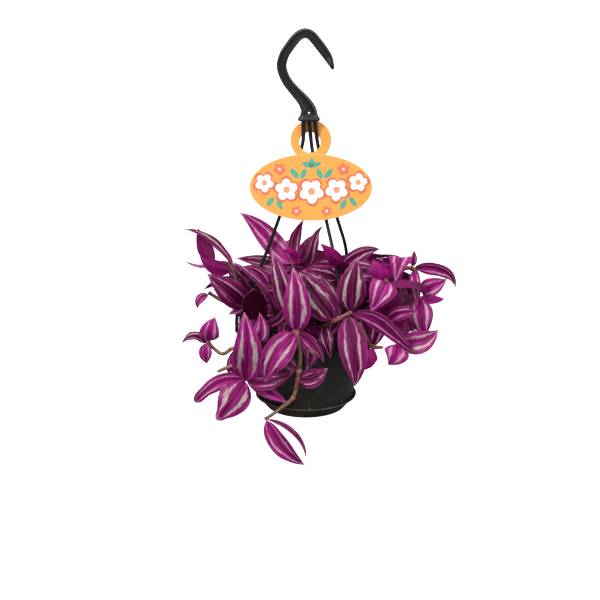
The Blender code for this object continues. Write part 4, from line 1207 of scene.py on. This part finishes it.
def leaf_skins():
    look, shader = new_material("striped leaf skin")
    blade_at = node(look, "SeparateXYZ", {0: node(look, "Attribute", attribute_name="blade").outputs["Vector"]})
    across, along, tone = blade_at.outputs
    mood = node(look, "SeparateXYZ", {0: node(look, "Attribute", attribute_name="mood").outputs["Vector"]})
    breadth, silvery, scorched = mood.outputs
    spot = node(look, "Attribute", attribute_name="spot").outputs["Vector"]
    # Veins run lengthwise. Real ones are 0.4 mm apart; they are drawn about 1 mm apart to show
    veins = speckle(look, stretched(look, spot, 1.0, 0.05), 1.0, 1.5)
    fine = speckle(look, stretched(look, spot, 2.4, 0.2), 1.0, 2.0)
    threads = speckle(look, stretched(look, spot, 1.7, 0.025), 1.0, 1.0)
    drift = speckle(look, stretched(look, spot, 0.12, 0.08), 1.0, 1.0)
    grains = speckle(look, spot, 1.8, 2.0)
    out = sums(look, "ABSOLUTE", across)
    ends = sums(look, "MULTIPLY", sums(look, "MULTIPLY", along, sums(look, "SUBTRACT", 1.0, along)), 4.0)
    # The silver band: its middle sways, its edges are frayed by the veins, its ends thin to a line
    uneven = sums(look, "MULTIPLY_ADD", veins, 0.4, -0.2)
    sway = sums(look, "MULTIPLY_ADD", drift, 0.3, -0.15)
    middle = sums(look, "MULTIPLY_ADD", along, -0.08, 0.52)
    away = sums(look, "ADD", sums(look, "SUBTRACT", out, middle), sway)
    away = sums(look, "ADD", sums(look, "ABSOLUTE", away), uneven)
    broad = sums(look, "MULTIPLY_ADD", sums(look, "MULTIPLY", ends, breadth), 0.15, 0.015)
    band = ramp(look, sums(look, "SUBTRACT", away, broad), 0.05, -0.03)
    mealy = ramp(look, sums(look, "MULTIPLY_ADD", fine, 0.6, sums(look, "MULTIPLY", grains, 0.4)), 0.32, 0.66)
    lilac = blend(look, mealy, "#8A3872", "#E8A8D0")
    ashen = blend(look, mealy, "#7A6062", "#D6C6BE")
    grey = blend(look, silvery, lilac, ashen)
    pink = blend(look, fine, "#9E3686", "#E898D2")
    silver = blend(look, ramp(look, ends, 0.4, 0.8), pink, grey)
    vivid = blend(look, ramp(look, veins, 0.32, 0.66), "#62063F", "#A61480")
    maroon = blend(look, ramp(look, veins, 0.32, 0.66), "#260315", "#560A34")
    # The tone mixes dark and vivid colours: partly the leaf's own colour, partly painted shade and light
    core = blend(look, tone, maroon, vivid)
    dull = blend(look, ramp(look, veins, 0.3, 0.7), "#380724", "#701A4C")
    bright = blend(look, ramp(look, veins, 0.3, 0.7), "#6C0C50", "#AE2688")
    outer = blend(look, tone, dull, bright)
    skin = blend(look, ramp(look, sums(look, "ADD", out, uneven), 0.42, 0.6), core, outer)
    skin = blend(look, sums(look, "MULTIPLY", ramp(look, threads, 0.58, 0.66), 0.28), skin, "#C262A6")
    skin = blend(look, sums(look, "MULTIPLY", ramp(look, out, 0.92, 0.99), 0.5), skin, "#B44A90")
    skin = blend(look, sums(look, "MULTIPLY", ramp(look, out, 0.06, 0.0), 0.6), skin, "#30041C")
    skin = blend(look, sums(look, "MULTIPLY", band, 0.92), skin, silver)
    skin = blend(look, sums(look, "MULTIPLY", ramp(look, along, 0.88, 1.0), 0.45), skin, "#C79AB0")
    scorch = sums(look, "MULTIPLY", ramp(look, drift, 0.46, 0.54), scorched)
    scorch = sums(look, "MULTIPLY", scorch, ramp(look, sums(look, "ABSOLUTE", sums(look, "SUBTRACT", along, 0.62)),
                                                 0.16, 0.08))
    skin = blend(look, sums(look, "MULTIPLY", scorch, 0.8), skin, blend(look, fine, "#5E2E2A", "#B98A6C"))
    height = sums(look, "ADD", sums(look, "MULTIPLY", veins, 0.7), sums(look, "MULTIPLY", fine, 0.3))
    bump = node(look, "Bump", {"Strength": 0.35, "Distance": 0.0004, "Height": height})
    set_shader(look, shader, {
        "Base Color": skin,
        "Roughness": ramp(look, band, 0.0, 1.0, 0.32, 0.5),
        "Specular IOR Level": 0.11,
        "Normal": bump.outputs["Normal"]})

    under, under_shader = new_material("magenta leaf underside")
    under_spot = node(under, "Attribute", attribute_name="spot").outputs["Vector"]
    under_blade = node(under, "Attribute", attribute_name="blade").outputs["Vector"]
    under_shade_to_glow = node(under, "SeparateXYZ", {0: under_blade}).outputs[2]
    under_veins = ramp(under, speckle(under, stretched(under, under_spot, 1.0, 0.06), 1.0, 2.0), 0.3, 0.7)
    # Painted shade and painted glow: dark magenta for leaves in shade, bright magenta as if lit through, mixed by the
    # leaf's tone
    shaded = blend(under, under_veins, "#30031B", "#580836")
    painted_glow = blend(under, under_veins, "#9A1272", "#BC1C90")
    set_shader(under, under_shader, {
        "Base Color": blend(under, under_shade_to_glow, shaded, painted_glow),
        "Roughness": 0.4,
        "Specular IOR Level": 0.14})
    return look, under


leaf_skin, leaf_underside = leaf_skins()
print("leaf skins made")

# %% [markdown]
# Now the leaves are set, in the frame's own order, so each finds the place that its solid has. Each
# fine blade will get the two numbers for its pattern, with a tone that makes some leaves vivid and
# some dark. The tone is partly the leaf's own colour, as leaves differ in life, and partly painted
# light and shade: leaves deep in the plant or in shade get a low tone, well-lit ones a high tone.

# %% Leaves
# How vivid the leaf is (its own colour with painted light and shade), how broad its bands, and how silvery rather
# than pink they are, each 0 to 1
LEAF_LOOKS = {
    "leaf_front_up": (0.75, 0.75, 0.9), "leaf_front_down_left": (0.7, 0.45, 0.7),
    "leaf_front_down_right": (0.5, 0.3, 0.2), "leaf_trailing_end": (0.75, 0.5, 0.1),
    "leaf_right_front_down": (0.3, 0.35, 0.6), "leaf_right_front_up": (0.15, 0.5, 1.0),
    "leaf_right_front_arch": (0.7, 0.45, 0.2), "leaf_middle_striped": (0.05, 0.4, 1.0),
    "leaf_left_big": (0.85, 0.8, 0.8), "leaf_left_low_point": (0.65, 0.7, 1.0),
    "leaf_left_low_arch": (1.0, 0.5, 0.15), "leaf_left_low_inner": (0.25, 0.15, 0.1), "leaf_small_middle_pointed": (0.6, 0.6, 0.6),
    "leaf_small_right_drop": (0.9, 0.6, 0.4), "leaf_small_right_bridge": (0.8, 0.3, 0.2),
    "leaf_shoot_round": (1.0, 0.4, 0.3), "leaf_left_dark": (0.15, 0.05, 0.0),
    "leaf_left_folded": (0.1, 0.5, 0.7), "leaf_left_upright": (0.35, 0.2, 0.1),
    "leaf_left_narrow": (0.1, 0.1, 0.0), "leaf_top_striped": (0.25, 0.45, 0.9),
    "leaf_top_left": (1.0, 0.6, 0.1), "leaf_left_behind": (0.1, 0.2, 0.6),
    "leaf_top_curled": (0.4, 0.8, 0.5), "leaf_middle_band": (0.25, 0.25, 0.2),
    "leaf_top_right": (0.3, 0.5, 0.5), "leaf_small_right_thin": (0.9, 0.4, 0.2), "leaf_right_wedge": (0.75, 0.7, 0.4),
    "leaf_right_maroon": (0.2, 0.3, 0.2), "leaf_right_curled": (0.85, 0.8, 0.4),
    "leaf_right_long": (0.8, 0.6, 0.2), "leaf_right_tip": (1.0, 0.5, 0.4),
    "leaf_right_hanging": (0.75, 0.6, 0.4), "leaf_right_boat": (0.8, 0.5, 0.9),
    "leaf_right_round": (1.0, 0.8, 0.3), "leaf_small_front_behind": (0.05, 0.2, 0.3),
    "leaf_small_middle_striped": (0.1, 0.5, 0.8), "leaf_small_crown_right": (0.5, 0.2, 0.0),
    "leaf_small_crown_shield": (0.15, 0.5, 0.7), "leaf_small_crown_up": (0.8, 0.3, 0.2),
    "leaf_small_crown_left": (0.9, 0.2, 0.0), "leaf_small_crown_under": (0.05, 0.2, 0.0),
    "leaf_small_left_red": (0.35, 0.3, 0.1), "leaf_small_left_tip": (1.0, 1.0, 0.0), "leaf_small_left_between": (0.9, 0.6, 0.3),
    "leaf_small_left_under": (0.95, 0.2, 0.0), "leaf_small_right_glow": (0.6, 0.2, 0.0),
    "leaf_small_right_under": (0.85, 0.2, 0.0), "leaf_small_on_pot": (0.15, 0.0, 0.0), "leaf_small_right_dark": (0.05, 0.2, 0.3),
    "leaf_small_left_edge": (0.9, 0.3, 0.2), "leaf_back_right_up": (1.0, 0.3, 0.1),
    "leaf_small_shoot_down": (1.0, 0.2, 0.0), "leaf_small_twig_end": (0.9, 0.1, 0.0),
    # Painted shade: this crowd leaf's plain underside is made dark to read as a shaded hollow
    "leaf_crowd_140": (0.0, 0.1, 0.0),
}
# Crowd leaves lie deep in the plant, so their tone is kept low as painted shade
CROWD_SHADED_TONE = 0.5


def add_leaf(name, swing, roll):
    rows = blade(name, swing * MM, roll, FINE_ROWS, FINE_COLUMNS, fine=True)
    points, faces = blade_body(rows, FINE_THICKNESS)
    cells = (FINE_ROWS - 1) * (FINE_COLUMNS - 1)
    face_looks = [0, 1] * cells + [0] * (len(faces) - 2 * cells)
    length = (rows[-1][0][0] - rows[0][0][0]).length / MM
    seed = random.Random(name + " tone").random()
    own = random.Random(name + " look")
    vivid = CROWD_SHADED_TONE if name.startswith("leaf_crowd") else 0.8
    tone, breadth, silvery = LEAF_LOOKS.get(name, (seed * vivid, own.uniform(0.0, 0.5), own.random() * 0.6))
    scorched = 1.0 if name == "leaf_front_down_right" else 0.0
    stands_for = [name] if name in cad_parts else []
    piece = add_piece(name + "_blade", points, faces, [leaf_skin, leaf_underside], "plant_leaf",
                      stands_for, face_looks, sharp=60)
    flat = [spot for row in rows for spot in row] * 2
    blades = piece.data.attributes.new("blade", "FLOAT_VECTOR", "POINT")
    spots = piece.data.attributes.new("spot", "FLOAT_VECTOR", "POINT")
    moods = piece.data.attributes.new("mood", "FLOAT_VECTOR", "POINT")
    moods.data.foreach_set("vector", [breadth, silvery, scorched] * len(flat))
    blades.data.foreach_set("vector", [v for s in flat for v in (s[2], s[3], tone)])
    spots.data.foreach_set("vector", [v for s in flat for v in (s[2] * s[4] / MM, s[3] * length, seed * 90)])
    return piece


def tree_of(piece):
    """A search tree of a mesh object's faces."""
    return BVHTree.FromPolygons([v.co for v in piece.data.vertices],
                                [list(p.vertices) for p in piece.data.polygons])


placed = [tree_of(piece) for name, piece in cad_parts.items() if not name.startswith("leaf_")]
leaf_trees = []
set_leaves = {}


def place_leaf(name, found):
    points, faces = blade_body(blade(name, found[0] * MM, found[1], TEST_ROWS, TEST_COLUMNS), LEAF_THICKNESS)
    leaf_trees.append(BVHTree.FromPolygons(points, faces))
    placed.append(leaf_trees[-1])
    set_leaves[name] = found


for name in framed_leaves:
    place_leaf(name, settle(name, placed) or (0, 0))
print(len(set_leaves), "framed leaves set")

# %% [markdown]
# Twigs come next, then the smaller leaves. A small leaf that finds no clear place is left out.

# %% Twigs and smaller leaves
THIN_TEST = 0.5 * MM


def stem_tree(name):
    """A search tree of a plain tube along a stem."""
    line = stem_line(name)
    rings = [squared_ring(stem_radius(k / (len(line) - 1)), stem_radius(k / (len(line) - 1)), 2, 6)
             for k in range(len(line))]
    return BVHTree.FromPolygons(*sweep(line, rings, Vector((0.3, 0.9, 0.1))))


for name in TWIGS:
    tree = stem_tree(name)
    hits = sum(1 for other in placed if tree.overlap(other))
    placed.append(tree)
    print(name, "meets", hits)
no_room = []
for name in LEAVES:
    if name not in set_leaves:
        found = settle(name, placed, THIN_TEST)
        if found:
            place_leaf(name, found)
        else:
            no_room.append(name)
print("no room for", no_room)

# %% [markdown]
# The rest of the plant is a crowd: stems that stand up from the soil and lean out on all sides, with
# a leaf at each node, left and right in turn. Nobody could set these one by one. A rule grows them,
# with seeded chance, and keeps one only where it is clear of all that was placed before. From the
# front it must also stay behind the listed leaves, inside the outline of the crowd.

# %% Crowd rules
# Each stem: the way it leans in degrees round from +X, radius at the soil, highest point (radius,
# height) and end (radius, height)
CROWD_STEMS = [
    (-100, 20, 46, -236, 63, -246), (-125, 22, 45, -238, 60, -243), (-80, 18, 42, -234, 63, -250),
    (-62, 26, 50, -234, 62, -240), (-150, 16, 38, -228, 58, -232), (-112, 6, 14, -214, 24, -208),
    (-60, 8, 24, -214, 38, -212), (170, 20, 44, -222, 66, -226), (140, 20, 36, -212, 56, -214),
    (100, 14, 30, -210, 48, -206), (70, 16, 36, -208, 58, -208), (40, 20, 48, -214, 76, -218),
    (15, 22, 50, -222, 82, -230), (-12, 28, 52, -232, 76, -244), (-35, 28, 50, -234, 68, -246),
    (0, 10, 26, -206, 50, -196), (120, 6, 14, -204, 28, -192), (85, 34, 60, -234, 72, -262),
    (115, 34, 58, -236, 72, -270), (60, 34, 60, -234, 70, -268), (150, 34, 60, -236, 74, -262),
    (25, 34, 62, -236, 78, -262), (205, 30, 54, -236, 60, -250),
]
NODE_SPACING = 8.0 * MM
CROWD_OUTLINE = [
    (236, 254), (262, 258), (288, 244), (312, 234), (330, 256), (362, 252), (392, 256), (414, 262),
    (434, 280), (430, 300), (424, 326), (404, 344), (372, 346), (346, 340), (338, 352), (322, 364),
    (300, 376), (284, 380), (262, 380), (242, 366), (242, 330), (236, 306), (214, 280), (222, 264),
]
BEYOND_FRAME = 4.0 * MM
GAP_TRIES = 12
GAP_REACH = 36.0 * MM
PICTURE_SCALE = 600 * LENS_MM / camera_data.sensor_width
CAMERA_TURN = Matrix.Rotation(CAMERA_TILT, 3, "X")


def seen_at(point):
    """Where a point shows in a picture 600 wide and high, from the camera's place."""
    across, up, back = CAMERA_TURN.transposed() @ (point - Vector(CAMERA_PLACE))
    return 300 - PICTURE_SCALE * across / back, 300 + PICTURE_SCALE * up / back


def inside(outline, spot):
    """Whether a spot lies inside a closed outline."""
    x, y = spot
    odd = False
    for (ax, ay), (bx, by) in zip(outline, outline[1:] + outline[:1]):
        if (ay > y) != (by > y) and x < ax + (y - ay) * (bx - ax) / (by - ay):
            odd = not odd
    return odd


def try_leaf(row, front):
    """Keeps a leaf if it shows inside the outline, behind the listed leaves, and is clear of the rest."""
    name = f"leaf_crowd_{len(grown)}"
    LEAVES[name] = row
    rows = blade(name, 0, 0, TEST_ROWS, TEST_COLUMNS)
    fits = True
    low, high = cad_box
    for point in (spot[0] for line in rows for spot in line):
        if any(v < a - BEYOND_FRAME or v > b + BEYOND_FRAME for v, a, b in zip(point, low, high)):
            fits = False
            break
        away = (point - Vector(CAMERA_PLACE)).normalized()
        if not inside(CROWD_OUTLINE, seen_at(point)) or front.ray_cast(point, away)[0] is not None:
            fits = False
            break
    found = settle(name, placed, CROWD_TEST, CROWD_SWINGS, CROWD_ROLLS) if fits else None
    if found is None:
        del LEAVES[name]
        return False
    place_leaf(name, found)
    grown.append(name)
    return True


def open_spots(stem, spacing):
    """Spots along a stem that are out of the pot, with the stem's direction there."""
    line = stem_line(stem, 2.0 * MM)
    far = 0.0
    for a, b in zip(line, line[1:]):
        far += (b - a).length
        if far >= spacing and (b.z > POT_TOP + 3 * MM or math.hypot(b.x, b.y) > LIP_RADIUS + 3 * MM):
            far = 0.0
            yield b, (b - a).normalized()


def grow_leaves(stem, front, chance):
    """Leaves at the nodes of a stem, left and right in turn, each drooping to its tip."""
    side = chance.choice((-1, 1))
    for seat, along in open_spots(stem, NODE_SPACING):
        side = -side
        level = along if along.xy.length > 0.3 else seat
        ahead = math.atan2(level.y, level.x)
        length = chance.uniform(34, 50) * MM
        for turn, climb in ((55, 12), (95, 25), (25, -5), (75, -35), (130, 10)):
            heading = ahead + side * math.radians(turn + chance.uniform(-12, 12))
            rise = math.radians(climb + chance.uniform(-10, 10))
            way = Vector((math.cos(heading) * math.cos(rise), math.sin(heading) * math.cos(rise), math.sin(rise)))
            middle = seat + way * length * 0.5 + Vector((0, 0, length * 0.12))
            tip = seat + way * length - Vector((0, 0, length * chance.uniform(0.0, 0.22)))
            row = (stem, [p / MM for p in (seat, middle, tip)], length / MM * chance.uniform(0.36, 0.46),
                   chance.uniform(-25, 25), chance.uniform(4, 16), math.degrees(heading) + 90)
            if try_leaf(row, front):
                break


def fill_gaps(lines_of_sight, facing, front, chance):
    """Leaves that close the gaps which lines of sight find between the leaves."""
    spots = [(stem, spot) for stem in STEMS for spot, _ in open_spots(stem, 5.0 * MM)]
    chance.shuffle(lines_of_sight)
    turn = math.radians(facing)
    viewer = Vector((math.sin(turn), -math.cos(turn), 0.33)).normalized()
    for eye, sight in lines_of_sight:
        if any(tree.ray_cast(eye, sight)[0] is not None for tree in leaf_trees):
            continue
        near = []
        for stem, spot in spots:
            gap_at = eye + sight * (spot - eye).dot(sight)
            reach = (gap_at - spot).length
            if 6 * MM < reach < GAP_REACH:
                near.append((abs(reach - 17 * MM) + chance.uniform(0, 6) * MM, stem, spot, gap_at, reach))
        near.sort(key=lambda n: n[0])
        for _, stem, spot, gap_at, reach in near[:GAP_TRIES]:
            way = (gap_at - spot).normalized()
            length = max(24 * MM, min(50 * MM, 1.5 * reach + chance.uniform(6, 14) * MM))
            middle = spot + way * length * 0.5 + viewer * length * chance.uniform(0.04, 0.16)
            tip = spot + way * length - viewer * length * chance.uniform(-0.05, 0.12)
            side = 180 if chance.random() < 0.15 else 0
            row = (stem, [p / MM for p in (spot, middle, tip)], length / MM * chance.uniform(0.38, 0.5),
                   side + chance.uniform(-22, 22), chance.uniform(4, 14), facing)
            if try_leaf(row, front):
                break


def crowd_stem(name, degrees, start, peak_radius, peak, end_radius, end):
    """Adds a crowd stem if some nearby heading is clear."""
    for more in (0, 4, -4, 8, -8, 12, -12, 16, -16):
        angle = math.radians(degrees + more)
        way = Vector((math.cos(angle), math.sin(angle), 0))
        bend = Vector((-way.y, way.x, 0)) * 3
        points = [way * start, way * (start + peak_radius) / 2 + bend, way * peak_radius, way * end_radius - bend]
        heights = [-260, (peak * 0.7 - 260 * 0.3), peak, end]
        STEMS[name] = ("soil", [(p.x, p.y, h) for p, h in zip(points, heights)])
        tree = stem_tree(name)
        if not any(tree.overlap(other) for other in placed):
            placed.append(tree)
            return True
    del STEMS[name]
    return False


# %% Crowd
CROWD_TEST = 0.9 * MM
CROWD_SWINGS = [0, 4, -4, 8, -8, 12]
CROWD_ROLLS = [0, 20, -20]
chance = random.Random(11)
grown = []
front_points = []
front_faces = []
for name, found in set_leaves.items():
    if name.startswith("leaf_back"):
        continue
    points, faces = blade_body(blade(name, found[0] * MM, found[1], TEST_ROWS, TEST_COLUMNS), LEAF_THICKNESS)
    front_faces += [[len(front_points) + k for k in face] for face in faces]
    front_points += points
front = BVHTree.FromPolygons(front_points, front_faces)
crowd = [f"stem_crowd_{k}" for k, row in enumerate(CROWD_STEMS) if crowd_stem(f"stem_crowd_{k}", *row)]
print(len(crowd), "crowd stems")



def front_lines(step):
    """Lines of sight from the front on a grid of spots inside the crowd's outline."""
    lines = []
    for px in range(206, 432, step):
        for py in range(240, 380, step):
            if inside(CROWD_OUTLINE, (px, py)):
                sight = CAMERA_TURN @ Vector(((px - 300) / PICTURE_SCALE, (300 - py) / PICTURE_SCALE, -1))
                lines.append((Vector(CAMERA_PLACE), sight.normalized()))
    return lines


fill_gaps(front_lines(5), 0, front, chance)
print(len(grown), "leaves close the front's gaps")
for stem in list(STEMS):
    grow_leaves(stem, front, chance)
print(len(grown), "after the stems' own leaves")
fill_gaps(front_lines(4), 0, front, chance)
print(len(grown), "after the front is looked over again")
for facing in (180, 120, 240, 75, 285):
    turn = math.radians(facing)
    viewer = Vector((math.sin(turn), -math.cos(turn), 0.33)).normalized()
    across = Vector((math.cos(turn), math.sin(turn), 0))
    side_lines = []
    for i in range(-11, 12):
        for j in range(-5, 5):
            spot = Vector((4 * MM, 0, -222 * MM)) + across * i * 7 * MM + Vector((0, 0, j * 7 * MM))
            side_lines.append((spot + viewer, -viewer))
    fill_gaps(side_lines, facing, front, chance)
print(len(grown), "crowd leaves in all")

# %% [markdown]
# A fleshy stem swells at each node, where a leaf's base wraps it in a short sheath, and it is pinkest
# there. Between nodes it is tan and striped lengthwise. Each stem is one tube whose radius follows the
# leaves on it, so the sheaths grow out of it. Three numbers on its points drive the colour.

# %% Stem skin and stems
def stem_skin():
    look, shader = new_material("fleshy stem skin")
    parts = node(look, "SeparateXYZ", {0: node(look, "Attribute", attribute_name="stem").outputs["Vector"]})
    pinkness, sheath, shaded = parts.outputs
    spot = node(look, "Attribute", attribute_name="spot").outputs["Vector"]
    streaks = speckle(look, stretched(look, spot, 1.4, 0.12), 1.0, 2.0)
    blotches = speckle(look, stretched(look, spot, 0.3, 0.2), 1.0, 2.0)
    tan = blend(look, ramp(look, streaks, 0.35, 0.65), "#735642", "#AE8A6C")
    tan = blend(look, ramp(look, blotches, 0.5, 0.7), tan, "#7A3E40")
    pink = blend(look, ramp(look, streaks, 0.35, 0.65), "#5E1C34", "#A04E68")
    colour = blend(look, pinkness, tan, pink)
    # Painted shade: stems deep in the plant are blended toward a dark brown
    colour = blend(look, shaded, colour, blend(look, streaks, "#2A0F14", "#4A2422"))
    colour = blend(look, sums(look, "MULTIPLY", sheath, 0.6), colour, "#C09070")
    bump = node(look, "Bump", {"Strength": 0.3, "Distance": 0.0003, "Height": streaks})
    set_shader(look, shader, {"Base Color": colour, "Roughness": 0.42, "Specular IOR Level": 0.3,
                              "Normal": bump.outputs["Normal"]})
    return look


stem_look = stem_skin()
# Stems deep in the plant get painted shade, a darker colour, and two bare nodes show on the trailing stem
SHADED = {"stem_left_up": 0.85, "twig_left_inner": 0.8, "stem_left_low": 0.6, "stem_middle": 0.6, "stem_middle_right": 0.7, "twig_left_thin": 0.6}
BARE_NODES = {"stem_front_trailing": [(-6, -69, -274), (-11, -67, -299)]}
SHEATH_LENGTH = 5.0 * MM
SHEATH_SWELL = 0.45 * MM
PINK_REACH = 7.0 * MM


def add_stem(name):
    """A tube whose radius and colour follow the leaves that sit on it."""
    line = stem_line(name, 1.2 * MM)
    seats = []
    lengths = [0.0]
    for a, b in zip(line, line[1:]):
        lengths.append(lengths[-1] + (b - a).length)
    for leaf in set_leaves:
        if LEAVES[leaf][0] == name:
            spot = midrib(leaf)[0]
            seats.append(lengths[min(range(len(line)), key=lambda k: (line[k] - spot).length)])
    bare_seats = []
    for bare in in_metres(BARE_NODES.get(name, [])):
        bare_seats.append(lengths[min(range(len(line)), key=lambda k: (line[k] - bare).length)])
    sides = 14
    seed = random.Random(name).random() * 50
    shaded = SHADED.get(name, 0.9 if name.startswith("stem_crowd") else 0.15)
    sections = []
    marks = []
    spots = []
    for k, far in enumerate(lengths):
        radius = stem_radius(far / lengths[-1])
        sheath = max([max(0.0, 1 - (far - seat) / SHEATH_LENGTH) for seat in seats if far >= seat - 0.6 * MM] + [0])
        sheath = min(1.0, sheath)
        near = min([abs(far - seat) for seat in seats] + [30 * MM])
        near_bare = min([abs(far - seat) for seat in bare_seats] + [30 * MM])
        swell = 0.3 * MM * math.exp(-(near / (1.6 * MM)) ** 2) + 0.5 * MM * math.exp(-(near_bare / (1.3 * MM)) ** 2)
        end = max(0.0, 1 - (lengths[-1] - far) / (1.5 * MM))
        radius = (radius + SHEATH_SWELL * sheath ** 0.5 + swell) * math.sqrt(max(0.05, 1 - end * end))
        sections.append(squared_ring(radius, radius, 2, sides))
        ring_edge = 0.3 * math.exp(-(near / (0.9 * MM)) ** 2) + math.exp(-(near_bare / (1.8 * MM)) ** 2)
        pinkness = 0.9 * math.exp(-near / PINK_REACH)
        marks += [(pinkness, min(1.0, ring_edge), shaded)] * sides
        spots += [(2 * math.pi * radius / MM * i / sides, far / MM, seed) for i in range(sides)]
    stands_for = [name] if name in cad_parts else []
    piece = add_piece(name + "_tube", *sweep(line, sections, Vector((0.3, 0.9, 0.1))), [stem_look], "plant_stem",
                      stands_for, sharp=60)
    data = piece.data.attributes.new("stem", "FLOAT_VECTOR", "POINT").data
    data.foreach_set("vector", [v for mark in marks for v in mark])
    data = piece.data.attributes.new("spot", "FLOAT_VECTOR", "POINT").data
    data.foreach_set("vector", [v for spot in spots for v in spot])


for name in STEMS:
    add_stem(name)
for name, found in set_leaves.items():
    add_leaf(name, *found)
print(len(STEMS), "stems and", len(set_leaves), "leaves")
